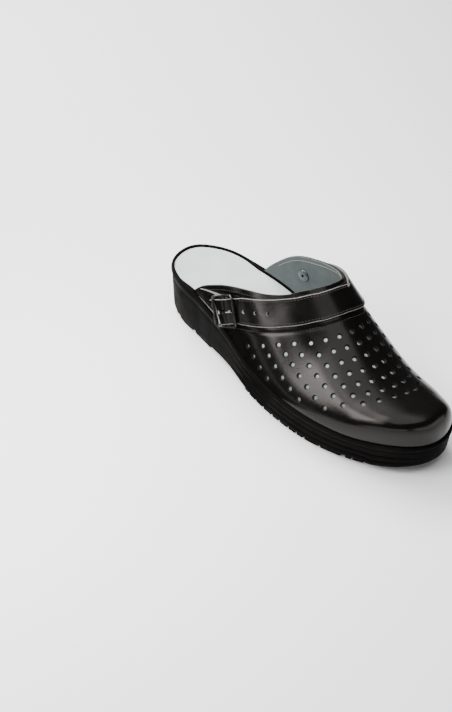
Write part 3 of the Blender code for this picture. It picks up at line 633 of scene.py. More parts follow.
def leather(name, colour, gloss):
    """Smooth black grain leather: fine pores, a faint pebble and patchy polish."""
    warm = (1.0, 0.94, 0.9, 1.0)
    material, shader, place = surface(name, colour, gloss, specular=0.22, specular_tint=warm)
    cloud = noise(material, place, 28.0, 4.0)
    tint(material, shader, cloud, [c * 0.8 for c in colour], [c * 1.35 for c in colour])
    polish(material, shader, noise(material, place, 60.0, 5.0), gloss - 0.04, gloss + 0.05)
    relief(material, shader, (
        (noise(material, place, 420.0, 2.0), 0.05, 0.0006),
        (cells(material, place, 1500.0), 0.1, 0.00025),
    ))
    return material


def suede(name, low, high, nap):
    """Pale napped leather: cloudy colour and a short fibre; the lining's far darker colours are painted
    shade.
    """
    material, shader, place = surface(name, low, 0.92, sheen=0.08, sheen_roughness=0.6, specular=0.1)
    tint(material, shader, noise(material, place, 55.0, 6.0, 0.6), low, high)
    relief(material, shader, (
        (noise(material, place, 700.0, 3.0), nap, 0.0006),
        (noise(material, place, 2600.0, 2.0), nap, 0.0003),
    ))
    return material


def foam(name, low, high):
    """Moulded matt polyurethane with a fine stipple."""
    material, shader, place = surface(name, low, 0.55, specular=0.012)
    tint(material, shader, noise(material, place, 40.0, 5.0), low, high)
    polish(material, shader, noise(material, place, 90.0, 4.0), 0.47, 0.63)
    relief(material, shader, (
        (cells(material, place, 900.0), 0.14, 0.0005),
        (noise(material, place, 260.0, 3.0), 0.08, 0.0008),
    ))
    return material


def raw_edge(name, low, high):
    """Cut leather edge, fibrous."""
    material, shader, place = surface(name, low, 0.85, specular=0.2)
    tint(material, shader, noise(material, place, 900.0, 3.0), low, high)
    relief(material, shader, ((noise(material, place, 1800.0, 2.0), 0.3, 0.0004),))
    return material


def thread_finish(name, low, high):
    material, shader, place = surface(name, low, 0.6, specular=0.2)
    twist = node(material, "ShaderNodeTexWave", Scale=1500.0, Distortion=1.0)
    link(material, place, twist.inputs["Vector"])
    relief(material, shader, ((twist.outputs["Fac"], 0.3, 0.0002),))
    tint(material, shader, twist.outputs["Fac"], low, high)
    return material


def brushed_metal(name, low, high):
    material, shader, place = surface(name, low, 0.28, metallic=1.0)
    stretch = node(material, "ShaderNodeMapping", Scale=(1.0, 1.0, 9.0))
    link(material, place, stretch.inputs["Vector"])
    scratch = noise(material, stretch.outputs["Vector"], 600.0, 4.0)
    tint(material, shader, noise(material, place, 180.0, 4.0), low, high)
    polish(material, shader, scratch, 0.2, 0.36)
    relief(material, shader, ((scratch, 0.05, 0.0002),))
    return material


UPPER_LEATHER = leather("upper_leather", (0.002, 0.0018, 0.0017), 0.19)
STRAP_LEATHER = leather("strap_leather", (0.002, 0.0018, 0.0017), 0.19)
# The lining is pale suede; its colour here is set far darker, painted shade for the inside of the shoe
LINING_WITH_PAINTED_SHADE = suede("lining", (0.06, 0.072, 0.071), (0.086, 0.102, 0.1), 0.35)
BED_LEATHER = suede("insole_leather", (0.46, 0.492, 0.487), (0.53, 0.56, 0.553), 0.25)
CUT_EDGE = raw_edge("cut_edge", (0.34, 0.33, 0.31), (0.66, 0.64, 0.61))
LINING_EDGE = raw_edge("lining_edge", (0.14, 0.15, 0.148), (0.26, 0.27, 0.265))
STRAP_RIM = raw_edge("strap_rim", (0.09, 0.085, 0.08), (0.2, 0.19, 0.18))
# Near black: the black leather's dyed cut edges, and painted shade in the rivet's hollow
DARK_EDGE_AND_PAINTED_SHADE = raw_edge("dark_edge_and_painted_shade", (0.006, 0.0055, 0.005), (0.013, 0.012, 0.011))
THREAD = thread_finish("black_thread", (0.012, 0.0115, 0.011), (0.03, 0.029, 0.028))
PALE_THREAD = thread_finish("pale_thread", (0.22, 0.23, 0.225), (0.36, 0.375, 0.37))
SOLE_FOAM = foam("sole_polyurethane", (0.0029, 0.0026, 0.0025), (0.0047, 0.0043, 0.004))
GUNMETAL = brushed_metal("gunmetal", (0.035, 0.035, 0.037), (0.07, 0.07, 0.073))
STEEL = brushed_metal("rivet_steel", (0.1, 0.115, 0.125), (0.18, 0.2, 0.21))


# Upper

LEATHER_SHADE = 40
LEATHER_NET = (170, 150)
LINING_NET = (120, 110)
LEATHER_LAYER = 1.9
LINING_SHOWS = 0.45
LAYER_GAP = 0.02
PUNCH_SIDES = 16
# Punched hole: radius, height over the outer surface; the lip is drawn in, the lining's hole is tighter
HOLE_SECTION = ((0.0, 5.0), (2.25, 5.0), (2.25, 0.1), (2.1, -0.2), (1.9, -0.7), (1.85, -5.0), (0.0, -5.0))
LINING_HOLE = 1.3
PUNCH_REACH = 5.0
STRAP_PUNCH_REACH = 11.0
SEAM_BELOW_STRAP = 14.6
SEAM_DEPTH = 0.3
SEAM_HALF_WIDTH = 1.1


def upper_places(along_steps, around_steps, over_collar):
    """Turn and angle of the upper's net: rows around, columns from the collar to the toe's rim."""
    along = np.linspace(0, 1, along_steps + 1)[None, :]
    angle = np.linspace(0, 1, around_steps + 1)[:, None]
    collar = turn_at(curve(LINES, COLLAR, angle) - over_collar)
    vamp = collar + (TOE_START - collar) * np.minimum(along / VAMP_SHARE, 1.0)
    share = 1 - (1 - np.clip((along - VAMP_SHARE) / (1 - VAMP_SHARE), 0.0, 1.0)) ** TOE_CROWDING
    start = 1 - TOE_START
    out = start * np.cos(np.pi * angle) * (1 - share) + (1 - TOE_CORNER) * (1 - 2 * angle) * share
    up = start * np.sin(np.pi * angle) * (1 - share)
    fan_turn = 1 - np.hypot(out, up)
    fan_angle = np.arctan2(up, out) / np.pi
    on_vamp = along <= VAMP_SHARE
    return np.where(on_vamp, vamp, fan_turn), np.where(on_vamp, angle + 0 * along, fan_angle)


def seam_line():
    """Turn and angle along the stitched seam just below the strap."""
    distance = np.linspace(STRAP_TAIL - 2, STRAP_END - 2, 400)
    turn, angle, side, _, _ = strap_stop(distance)
    return walk(turn, angle, -side * SEAM_BELOW_STRAP)


def hole_places():
    turns = []
    angles = []
    for count, *column in HOLE_COLUMNS:
        t = np.linspace(0, 1, count)
        shares = np.array(((1 - t) * (1 - 2 * t), 4 * t * (1 - t), t * (2 * t - 1)))
        turns.extend(turn_at(column[0::2] @ shares))
        angles.extend(column[1::2] @ shares)
    return np.array(turns), np.array(angles)


def standing_axes(turn, angle):
    """Axes of places on the upper: along the shoe, around it, outwards."""
    along, _ = slopes(turn, angle)
    normal = surface_normal(turn, angle)
    first = unit(along)
    return first, np.cross(normal, first), normal


def punches(name, turn, angle, radius, material, reach=PUNCH_REACH):
    """Round cutters through the upper and whatever lies on it."""
    pick()
    bpy.ops.mesh.primitive_cylinder_add(vertices=PUNCH_SIDES, radius=radius * MM, depth=2 * reach * MM)
    model = bpy.context.object
    model.name = name
    dress(model, material)
    first, second, normal = standing_axes(turn, angle)
    spots = last_surface(turn, angle)
    return join(name, copies(model, zip(spots, first, second, normal)))


def lipped_punches(turn, angle, material):
    """Cutters of the holes in the grain leather, with the drawn-in lip."""
    around = np.linspace(0, 2 * np.pi, PUNCH_SIDES + 1)
    rows = [
        np.column_stack((radius * np.cos(around), radius * np.sin(around), height + 0 * around))
        for radius, height in HOLE_SECTION
    ]
    model = net("lipped_punch", np.array(rows) - STAND)
    edit(model, weld, face_outwards)
    dress(model, material)
    places = zip(last_surface(turn, angle), *standing_axes(turn, angle))
    return join("lipped_punches", copies(model, places))


def rivet_place():
    return np.array([line_turn(STRAP_LINE, RIVET_ANGLE)]), np.array([RIVET_ANGLE])


def punch_for_rivet(piece, edge):
    cut(piece, punches("rivet_punch", *rivet_place(), RIVET_SHANK + CLEARANCE, edge))


def seam_trough(points, normal):
    """Points pressed in a little along the seam below the strap."""
    nearest = np.full(points.shape[:2], 1e9)
    for spot in last_surface(*seam_line()):
        nearest = np.minimum(nearest, ((points - spot) ** 2).sum(-1))
    return points - (SEAM_DEPTH * np.exp(-nearest / SEAM_HALF_WIDTH**2))[..., None] * normal


def upper_layer(name, points, depth, thickness, face, edge, holes):
    """Layer of the upper between two depths under its outer surface, punched like the whole."""
    layer = net(name, points)
    dress(layer, face, edge)
    offset = -1 - 2 * depth / thickness
    apply(layer, "SOLIDIFY", thickness=thickness * MM, offset=offset, material_offset_rim=1)
    cut(layer, holes)
    punch_for_rivet(layer, edge)
    smooth_shade(layer, LEATHER_SHADE)
    return layer


def make_upper():
    turn, angle = upper_places(*LEATHER_NET, 0.0)
    points = seam_trough(last_surface(turn, angle), surface_normal(np.clip(turn, 0.01, 0.999), angle))
    holes = lipped_punches(*hole_places(), DARK_EDGE_AND_PAINTED_SHADE)
    leather_layer = upper_layer("upper", points, 0.0, LEATHER_LAYER, UPPER_LEATHER, DARK_EDGE_AND_PAINTED_SHADE, holes)
    finish_piece(leather_layer, "upper_leather", "upper")
    points = last_surface(*upper_places(*LINING_NET, LINING_SHOWS))
    depth = LEATHER_LAYER + LAYER_GAP
    holes = punches("lining_punches", *hole_places(), LINING_HOLE, LINING_EDGE)
    # The lining layer takes the darkened lining colour, painted shade
    lining = upper_layer("upper_lining", points, depth, WALL - depth, LINING_WITH_PAINTED_SHADE, LINING_EDGE, holes)
    finish_piece(lining, "upper_leather")


# Strap, tab, buckle and rivet

STRAP_BODY = 30.0
STRAP_NOSE = 12.0
STRAP_EDGE = 0.35
STRAP_EDGE_RUN = 0.7
TAB_EDGE_RUN = 0.035
PALE_ROWS = 3
METAL_SHADE = 50


def pale_edge_rows(piece, rows):
    """Worn cut edge: a net's outermost rows take the piece's second material."""
    last_row = len(rows) - 2
    across = len(rows[0]) - 1
    for face in piece.data.polygons:
        row = face.index // across
        if min(row, last_row - row) < PALE_ROWS:
            face.material_index = 1


def band(name, rows, thickness):
    """Leather band under a net of its top face, with pale cut edges."""
    piece = net(name, rows)
    dress(piece, STRAP_LEATHER, STRAP_RIM)
    pale_edge_rows(piece, rows)
    apply(piece, "SOLIDIFY", thickness=thickness * MM, offset=-1.0, material_offset=1,
          material_offset_rim=1)
    return piece


def make_strap():
    distance = np.concatenate((
        np.linspace(STRAP_TAIL, STRAP_BODY, 70),
        np.linspace(STRAP_BODY, STRAP_END - STRAP_NOSE, 90)[1:],
        STRAP_END - STRAP_NOSE * (1 - np.sin(np.linspace(0, np.pi / 2, 32))[1:]),
    ))
    across = np.concatenate((
        -1 + np.array((0.0, 0.012, 0.03, 0.055, 0.09)),
        np.linspace(-0.85, 0.85, 13),
        1 - np.array((0.09, 0.055, 0.03, 0.012, 0.0)),
    ))
    half = strap_half_width(distance)
    reach = across[:, None] * half[None, :]
    to_edge = half[None, :] - np.abs(reach)
    rounded = STRAP_EDGE * (1 - np.clip(to_edge / STRAP_EDGE_RUN, 0, 1)) ** 2
    lift = strap_lift(distance)[None, :] + STRAP_THICKNESS - rounded
    strap = band("strap", strap_point(distance[None, :], reach, lift), STRAP_THICKNESS)
    spare = SPARE_HOLE_START + SPARE_HOLE_PITCH * np.arange(SPARE_HOLES)
    turn, angle, _, _, _ = strap_stop(spare)
    cut(strap, punches("spare_hole_punches", turn, angle, SPARE_HOLE_RADIUS, CUT_EDGE, STRAP_PUNCH_REACH))
    punch_for_rivet(strap, STRAP_RIM)
    cut(strap, slot_punch())
    smooth_shade(strap, LEATHER_SHADE)
    finish_piece(strap, "strap_leather", "strap")


def slot_punch():
    """Cutter of the slot that the prong comes up through."""
    pick()
    bpy.ops.mesh.primitive_cube_add(size=2.0)
    tool = bpy.context.object
    dress(tool, DARK_EDGE_AND_PAINTED_SHADE)
    unit_points = np.array([v.co for v in tool.data.vertices])
    back, front, half = PRONG_SLOT
    along = (back + front) / 2 + unit_points[:, 0] * (front - back) / 2
    height = BAR_HEIGHT + (unit_points[:, 2] + 1) / 2 * (SLOT_TOP - BAR_HEIGHT)
    move_points(tool, buckle_point(along, unit_points[:, 1] * half, height))
    edit(tool, face_outwards)
    return tool


def make_tab():
    along = np.linspace(0, 1, 60)
    across = np.concatenate((
        (0.0, 0.015, 0.035, 0.07), np.linspace(0.12, 0.88, 12), (0.93, 0.965, 0.985, 1.0)))
    stop = np.linspace(0, 1, len(BUCKLE_TAB))
    corner = np.stack([np.interp(along, stop, BUCKLE_TAB[:, k]) for k in range(5)])
    x = corner[2][None, :] + (corner[0] - corner[2])[None, :] * across[:, None]
    angle = corner[3][None, :] + (corner[1] - corner[3])[None, :] * across[:, None]
    edge = np.minimum(across, 1 - across)[:, None]
    rounded = STRAP_EDGE * (1 - np.clip(edge / TAB_EDGE_RUN, 0, 1)) ** 2
    lift = corner[4][None, :] + TAB_THICKNESS - rounded
    tab = band("buckle_tab", off_surface(turn_at(x), angle, lift + 0 * x), TAB_THICKNESS)
    for side in (-1, 1):
        cut(tab, knuckle(side), "UNION")
    smooth_shade(tab, LEATHER_SHADE)
    finish_piece(tab, "strap_leather", "buckle_tab")


def knuckle(side):
    """Half of the tab's end, rolled round the centre bar."""
    near, far = KNUCKLE_ENDS
    around = np.linspace(0, 2 * np.pi, 25)
    section = ((KNUCKLE_RADIUS, near), (KNUCKLE_RADIUS, far), (KNUCKLE_BORE, far), (KNUCKLE_BORE, near),
               (KNUCKLE_RADIUS, near))
    rows = []
    for radius, across in section:
        height = BAR_HEIGHT + radius * np.sin(around)
        rows.append(buckle_point(radius * np.cos(around), side * across + 0 * around, height))
    piece = net("tab_knuckle", rows)
    dress(piece, STRAP_LEATHER)
    edit(piece, weld, face_outwards)
    return piece


def frame_path():
    """Rounded rectangle of the buckle, bowed over the strap and tilted along it."""
    half_along = BUCKLE_LENGTH / 2 - BUCKLE_WIRE
    half_across = BUCKLE_WIDTH / 2 - BUCKLE_WIRE
    along = []
    across = []
    for turn, (sx, sy) in enumerate(((1, 1), (-1, 1), (-1, -1), (1, -1))):
        a = np.pi / 2 * (turn + np.linspace(0, 1, 9))
        along.extend(sx * (half_along - BUCKLE_CORNER) + BUCKLE_CORNER * np.cos(a))
        across.extend(sy * (half_across - BUCKLE_CORNER) + BUCKLE_CORNER * np.sin(a))
        reach = (half_along if sx * sy > 0 else half_across) - BUCKLE_CORNER
        for step in np.linspace(1, -1, 10)[1:-1]:
            if sx * sy > 0:
                along.append(sx * reach * step)
                across.append(sy * half_across)
            else:
                along.append(sx * half_along)
                across.append(sy * reach * step)
    along = np.array(along)
    height = BAR_HEIGHT + FRAME_BOW * (along / half_along) ** 2 - FRAME_TILT * along
    return buckle_point(along, np.array(across), height)


def make_buckle():
    loop = tube("buckle_frame", frame_path(), BUCKLE_WIRE, 16, closed=True)
    reach = BUCKLE_WIDTH / 2 - BUCKLE_WIRE
    across = np.linspace(-reach, reach, 12)
    bar = tube("buckle_bar", buckle_point(0 * across, across, BAR_HEIGHT + 0 * across), BAR_RADIUS, 14)
    for piece in (loop, bar):
        dress(piece, GUNMETAL)
    cut(loop, bar, "UNION")
    smooth_shade(loop, METAL_SHADE)
    finish_piece(loop, "metal", "buckle_frame")
    step = np.linspace(0, 1, len(PRONG_PATH))
    fine = np.linspace(0, 1, 28)
    table = np.column_stack((step, PRONG_PATH))
    along = curve(table, 1, fine)
    height = curve(table, 2, fine)
    taper = PRONG_WIRE * (1 - 0.3 * ease(fine, 0.55, 1.0))
    prong = tube("buckle_prong", buckle_point(along, 0 * along, height), taper, 14)
    dress(prong, GUNMETAL)
    smooth_shade(prong, METAL_SHADE)
    finish_piece(prong, "metal", "buckle_prong")


# Rows of the rivet's hollow that take the near-black edge material: painted shade
RIVET_PAINTED_SHADE_ROWS = 2


def make_rivet():
    first, second, normal = (axis[0] for axis in standing_axes(*rivet_place()))
    centre = last_surface(*rivet_place())[0]
    head = STRAP_THICKNESS + STRAP_GAP + CLEARANCE
    inside = -WALL - 2 * CLEARANCE
    profile = np.array((
        (0.0, inside + 0.9), (1.1, inside + 0.9), (1.25, inside - 0.8), (1.6, inside - 1.0),
        (2.6, inside - 0.95), (4.2, inside - 0.75),
        (RIVET_WASHER - 0.2, inside - 0.5), (RIVET_WASHER, inside - 0.2), (RIVET_WASHER, inside),
        (RIVET_SHANK, inside), (RIVET_SHANK, head), (RIVET_HEAD, head), (RIVET_HEAD, head + 0.3),
        (RIVET_HEAD - 0.3, head + 0.55), (RIVET_HEAD * 0.7, head + 0.85), (RIVET_HEAD * 0.35, head + 1.0),
        (0.0, head + RIVET_HEAD_HEIGHT),
    ))
    around = np.linspace(0, 2 * np.pi, 33)
    ring = np.cos(around)[:, None] * first + np.sin(around)[:, None] * second
    rows = centre + profile[:, 1][:, None, None] * normal + profile[:, 0][:, None, None] * ring[None]
    rivet = net("medial_rivet", rows)
    edit(rivet, weld, face_outwards)
    dress(rivet, STEEL, DARK_EDGE_AND_PAINTED_SHADE)
    # The hollow's faces are painted near black, painted shade inside the rivet's tube
    for face in rivet.data.polygons:
        face.material_index = int(face.index // (len(around) - 1) < RIVET_PAINTED_SHADE_ROWS)
    smooth_shade(rivet, 35)
    finish_piece(rivet, "metal", "medial_rivet")


# Stitching

STITCH_LENGTH = 1.9
STITCH_PITCH = 2.5
STITCH_WIDTH = 0.33
STITCH_HEIGHT = 0.26
STRAP_STITCH_INSET = 2.0
STRAP_STITCH_START = 12.0
STRAP_STITCH_STOP = 6.0
STRAP_STITCH_LIFT = 0.02
SEAM_STITCH_RUN = (0.012, 0.985)
SEAM_STITCH_LIFT = 0.12
COLLAR_STITCH_INSET = 3.2
COLLAR_STITCH_RUN = (0.03, 0.97)
COLLAR_STITCH_LIFT = 0.03


def stitch_row(points, normals):
    """Stitches at an even pitch along a line of points: spot and axes of each."""
    run = np.concatenate(((0.0,), np.cumsum(np.linalg.norm(np.diff(points, axis=0), axis=1))))
    places = np.arange(STITCH_PITCH / 2, run[-1], STITCH_PITCH)

    def at(values):
        return np.stack([np.interp(places, run, values[:, k]) for k in range(3)], axis=-1)

    spots = at(points)
    up = unit(at(normals))
    ahead = unit(np.gradient(spots, axis=0))
    ahead = unit(ahead - up * (ahead * up).sum(-1, keepdims=True))
    return list(zip(spots, ahead, np.cross(up, ahead), up))


def make_stitches(name, places, slot, thread):
    pick()
    bpy.ops.mesh.primitive_uv_sphere_add(segments=8, ring_count=5, radius=MM)
    model = bpy.context.object
    model.name = name
    model.data.transform(Matrix.Rotation(math.pi / 2, 4, "Y"))
    model.data.transform(Matrix.Diagonal((STITCH_LENGTH / 2, STITCH_WIDTH, STITCH_HEIGHT, 1.0)))
    dress(model, thread)
    piece = join(name, copies(model, places))
    smooth_shade(piece, 80)
    finish_piece(piece, slot)


def strap_stitches():
    distance = np.linspace(STRAP_STITCH_START, STRAP_END - STRAP_STITCH_STOP, 300)
    places = []
    for side in (-1, 1):
        reach = side * (strap_half_width(distance) - STRAP_STITCH_INSET)
        turn, angle, across, _, _ = strap_stop(distance)
        spot = walk(turn, angle, across * reach[:, None])
        points = off_surface(*spot, strap_lift(distance) + STRAP_THICKNESS + STRAP_STITCH_LIFT)
        places += stitch_row(points, surface_normal(*spot))
    return places


def seam_stitches():
    turn, angle = seam_line()
    keep = (angle > SEAM_STITCH_RUN[0]) & (angle < SEAM_STITCH_RUN[1])
    points = off_surface(turn[keep], angle[keep], -SEAM_DEPTH + SEAM_STITCH_LIFT)
    return stitch_row(points, surface_normal(turn[keep], angle[keep]))


def collar_stitches():
    """Row along the collar on the outside, and its twin on the lining side."""
    angle = np.linspace(*COLLAR_STITCH_RUN, 500)
    turn = line_turn(COLLAR, angle)
    along = slopes(turn, angle)[0]
    edge = last_surface(turn, angle)
    run = unit(np.gradient(edge, axis=0))
    normal = surface_normal(turn, angle)
    inwards = np.cross(run, normal)
    inwards *= np.sign((inwards * along).sum(-1))[:, None]
    spot = walk(turn, angle, inwards * COLLAR_STITCH_INSET)
    outside = off_surface(*spot, COLLAR_STITCH_LIFT + 0 * angle)
    inside = off_surface(*spot, -WALL - COLLAR_STITCH_LIFT + 0 * angle)
    up = surface_normal(*spot)
    return stitch_row(outside, up), stitch_row(inside, -up)


# Sole and insole

SOLE_AROUND = 150
SIDE_ROWS = 70
CAP_ROWS = 9
SIDE_SOFTNESS = 2
RIM_ROUND = 0.9
LUG_BEVEL = 0.45
# Insole's edge: inset, height over its underside
INSOLE_EDGE = ((0.0, 1.2), (0.0, 2.2), (0.0, 2.6), (0.12, 2.85), (0.4, INSOLE_THICKNESS))


def ring_stops():
    turn = np.linspace(0, 1, SOLE_AROUND + 1)
    turns = np.concatenate((turn, turn[::-1][1:]))
    sides = np.concatenate((-np.ones(SOLE_AROUND + 1), np.ones(SOLE_AROUND)))
    return turns, sides


def ring(inset, height):
    """Closed ring round the sole: lateral side to the toe, medial side back."""
    turns, sides = ring_stops()
    x, y = outline(turns, sides, inset(station(turns), sides))
    return np.stack((x, y, height(x)), axis=-1)


def cap_rings(edge, drop, shares):
    """Rings from an edge ring towards the middle line, dropped by the bed's dish."""
    spine = (edge + edge[::-1]) / 2
    rings = []
    for share in shares:
        row = edge + (spine - edge) * share
        if drop:
            row = row.copy()
            row[:, 2] -= drop(row[:, 0], share)
        rings.append(row)
    return rings


def bed_drop(x, share):
    along = ease(x, *DISH_BACK) * (1 - ease(x, *DISH_FRONT))
    return HEEL_DISH * along * (1 - (1 - share) ** 2)


def soft_profile():
    """Sole's side: shares of its height with heel and forefoot insets, corners rounded off."""
    share = np.linspace(0, 1, SIDE_ROWS)
    heel = np.interp(share, SIDE_PROFILE[:, 0], SIDE_PROFILE[:, 1])
    fore = np.interp(share, SIDE_PROFILE[:, 0], SIDE_PROFILE[:, 2])
    for _ in range(SIDE_SOFTNESS):
        heel[1:-1] = (heel[:-2] + heel[1:-1] + heel[2:]) / 3
        fore[1:-1] = (fore[:-2] + fore[1:-1] + fore[2:]) / 3
    return zip(share, heel, fore)


def side_ring(share, heel_inset, fore_inset):
    def inset(x, side):
        ribs = ease(x, *RIBS_BEGIN) * (1 - ease(x, *RIBS_FADE))
        return heel_inset + (fore_inset - heel_inset) * ribs

    return ring(inset, lambda x: base_height(x) + (rim_height(x) - base_height(x)) * share)


def make_sole():
    side = [side_ring(*row) for row in soft_profile()]
    under = cap_rings(side[0], None, np.linspace(1, 0, CAP_ROWS)[:-1])
    rim = [
        ring(lambda x, s, k=k: RIM_ROUND + (rim_width(x, s) - RIM_ROUND) * k, rim_height)
        for k in (0.5, 0.93)
    ]
    lip = [ring(rim_width, lambda x, d=d: rim_height(x) - d) for d in (0.25, 1.2, RECESS_DEPTH)]
    bed = cap_rings(lip[-1], bed_drop, np.linspace(0, 1, CAP_ROWS)[1:])
    sole = net("outsole", under + side + rim + lip + bed)
    edit(sole, weld, face_outwards)
    dress(sole, SOLE_FOAM)
    cut(sole, join("tread_lugs", make_lugs()), "UNION")
    smooth_shade(sole, 38)
    finish_piece(sole, "sole", "outsole")


def lug(corners):
    """Lug with its root in the sole and its ground edges rounded off; corners seen from above."""
    corners = np.asarray(corners)
    pick()
    bpy.ops.mesh.primitive_cylinder_add(vertices=len(corners), radius=1.0, depth=2.0)
    piece = bpy.context.object
    raw = np.array([v.co for v in piece.data.vertices])
    turn = np.arctan2(raw[:, 0], raw[:, 1]) / (2 * np.pi)
    spots = corners[np.rint(turn * len(corners)).astype(int) % len(corners)]
    x = spots[:, 0]
    z = np.where(raw[:, 2] > 0, base_height(x) + LUG_ROOT, floor_height(x))
    move_points(piece, np.column_stack((spots, z)))
    edit(piece, face_outwards)
    apply(piece, "BEVEL", width=LUG_BEVEL * MM, segments=2, limit_method="ANGLE",
          angle_limit=math.radians(50))
    return piece


def edge_corners(side, back, front, inner_back, inner_front):
    x, y = outline(turn_at(np.linspace(back, front, 9)), side, LUG_EDGE)
    inner = [(x[-1], side * inner_front), (x[0], side * inner_back)]
    return list(zip(x, y)) + inner


def block_corners(back, front, lateral, medial, lean):
    c = BLOCK_CHAMFER
    square = (
        (back, lateral + c), (back + 0.3 * c, lateral + 0.3 * c), (back + c, lateral), (front - c, lateral),
        (front - 0.3 * c, lateral + 0.3 * c), (front, lateral + c), (front, medial - c),
        (front - 0.3 * c, medial - 0.3 * c), (front - c, medial), (back + c, medial),
        (back + 0.3 * c, medial - 0.3 * c), (back, medial - c),
    )
    return [(x, y + lean * (x - back) / (front - back)) for x, y in square]


def rib_corners(back, front):
    share = np.linspace(0, 1, 25)
    wave = RIB_WAVE * np.sin(2.5 * np.pi * share) * np.sin(np.pi * share)
    rows = []
    for edge in (back, front):
        lateral = outline(turn_at(edge), -1, LUG_EDGE)
        medial = outline(turn_at(edge), 1, LUG_EDGE)
        x = lateral[0] + (medial[0] - lateral[0]) * share + wave
        y = lateral[1] + (medial[1] - lateral[1]) * share
        rows.append(list(zip(x, y)))
    return rows[0] + rows[1][::-1]


def make_lugs():
    shapes = [edge_corners(*row) for row in EDGE_LUGS]
    shapes += [block_corners(*row) for row in MIDDLE_BLOCKS]
    shapes += [rib_corners(*row) for row in TOE_RIBS]
    made = [lug(corners) for corners in shapes]
    for piece in made:
        dress(piece, SOLE_FOAM)
    return made


def make_insole():
    def edge(x, side):
        return rim_width(x, side) + CLEARANCE

    def under(x):
        return rim_height(x) - RECESS_DEPTH + CLEARANCE

    def ring_at(extra, height):
        return ring(lambda x, s: edge(x, s) + extra, lambda x: under(x) + height)

    low = ring_at(0.0, 0.0)
    wall = [low] + [ring_at(*stop) for stop in INSOLE_EDGE]
    bottom = cap_rings(low, bed_drop, np.linspace(1, 0, CAP_ROWS)[:-1])
    top = cap_rings(wall[-1], bed_drop, np.linspace(0, 1, 2 * CAP_ROWS)[1:])
    insole = net("insole", bottom + wall + top)
    edit(insole, weld, face_outwards)
    dress(insole, BED_LEATHER)
    smooth_shade(insole, 50)
    finish_piece(insole, "footbed", "insole")


# Studio: the camera's spot in millimetres, floor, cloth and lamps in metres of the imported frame

CAMERA_SPOT = (517.35, -424.28, 557.98)
CAMERA_AZIMUTH = 47.513
CAMERA_ELEVATION = 43.682
CAMERA_ROLL = 0.232
CAMERA_LENS = 49.284
FLOOR_SIZE = 6.0
CLOTH_LOW, CLOTH_HIGH, CLOTH_HEIGHT = (-0.32, -0.36), (0.01, -0.045), 0.001
LIT_SPOT = (0.06, -0.01, 0.05)


def make_camera():
    azimuth, elevation, roll = (math.radians(a) for a in (CAMERA_AZIMUTH, CAMERA_ELEVATION, CAMERA_ROLL))
    level = math.cos(elevation)
    back = Vector((math.sin(azimuth) * level, -math.cos(azimuth) * level, math.sin(elevation)))
    right = Vector((0, 0, 1)).cross(back).normalized()
    up = back.cross(right)
    rolled_right = right * math.cos(roll) + up * math.sin(roll)
    rolled_up = up * math.cos(roll) - right * math.sin(roll)
    data = bpy.data.cameras.new("camera")
    data.sensor_width = 36.0
    data.lens = CAMERA_LENS
    data.clip_start = 0.01
    data.clip_end = 20.0
    camera = bpy.data.objects.new("camera", data)
    bpy.context.scene.collection.objects.link(camera)
    turned = Matrix((rolled_right, rolled_up, back)).transposed().to_4x4()
    camera.matrix_world = Matrix.Translation(Vector((np.array(CAMERA_SPOT) + STAND) * MM)) @ turned
    bpy.context.scene.camera = camera


def make_floor():
    pick()
    bpy.ops.mesh.primitive_grid_add(x_subdivisions=4, y_subdivisions=4, size=FLOOR_SIZE)
    floor = bpy.context.object
    floor.name = "floor"
    dress(floor, surface("floor_white", (0.93, 0.93, 0.93), 0.6, specular=0.2)[0])


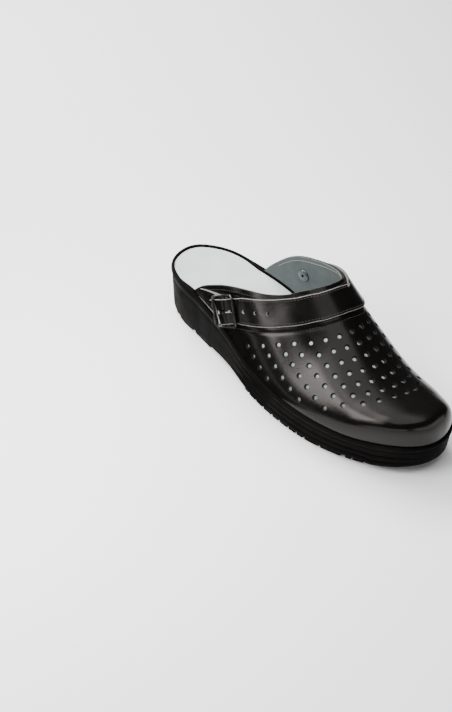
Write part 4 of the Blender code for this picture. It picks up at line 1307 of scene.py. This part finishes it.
def make_dark_cloth():
    """Black cloth on the floor beside the heel, which shows in reflections only."""
    pick()
    bpy.ops.mesh.primitive_plane_add(size=2.0)
    cloth = bpy.context.object
    cloth.name = "dark_cloth"
    for vertex in cloth.data.vertices:
        x = CLOTH_HIGH[0] if vertex.co.x > 0 else CLOTH_LOW[0]
        y = CLOTH_HIGH[1] if vertex.co.y > 0 else CLOTH_LOW[1]
        vertex.co = (x, y, CLOTH_HEIGHT)
    dress(cloth, surface("cloth_black", (0.01, 0.01, 0.01), 0.9, specular=0.0)[0])
    cloth.visible_camera = cloth.visible_diffuse = cloth.visible_shadow = False


def softbox(name, azimuth, elevation, distance, size, radiance, roll=0):
    """Soft area light in a direction from the vamp; azimuth 0 is in front of the toe, 90 the medial side."""
    azimuth, elevation = math.radians(azimuth), math.radians(elevation)
    level = math.cos(elevation)
    out = Vector((math.cos(azimuth) * level, math.sin(azimuth) * level, math.sin(elevation)))
    data = bpy.data.lights.new(name, "AREA")
    data.shape = "RECTANGLE"
    data.size, data.size_y = size
    data.energy = radiance * math.pi * size[0] * size[1]
    light = bpy.data.objects.new(name, data)
    bpy.context.scene.collection.objects.link(light)
    light.location = Vector(LIT_SPOT) + out * distance
    light.visible_camera = False
    light.rotation_mode = "QUATERNION"
    light.rotation_quaternion = out.to_track_quat("Z", "Y") @ Quaternion((0, 0, 1), math.radians(roll))


def make_lights():
    world = bpy.data.worlds.new("studio")
    bpy.context.scene.world = world
    world.use_nodes = True
    world.node_tree.nodes["Background"].inputs["Color"].default_value = (1.0, 1.0, 1.0, 1.0)
    world.node_tree.nodes["Background"].inputs["Strength"].default_value = 0.1
    softbox("key_softbox", -118, 37, 0.45, (0.2, 0.3), 12.5)
    softbox("long_softbox", -113, 62, 1.46, (1.7, 0.45), 4.6, -47)
    softbox("top_softbox", 158, 86, 0.45, (0.45, 0.59), 2.5, 13)
    softbox("back_softbox", 178, 42, 1.5, (1.3, 0.5), 27.0)
    softbox("front_card", 8, 7, 1.7, (2.2, 0.5), 2.6)
    softbox("side_card", -62, 5, 1.7, (1.8, 0.4), 2.6)


make_upper()
make_strap()
make_tab()
make_buckle()
make_rivet()
make_sole()
make_insole()
make_stitches("strap_stitches", strap_stitches(), "strap_leather", THREAD)
outside_row, inside_row = collar_stitches()
make_stitches("seam_stitches", seam_stitches(), "upper_leather", THREAD)
make_stitches("collar_stitches", outside_row, "upper_leather", THREAD)
make_stitches("lining_stitches", inside_row, "upper_leather", PALE_THREAD)
make_camera()
make_floor()
make_dark_cloth()
make_lights()
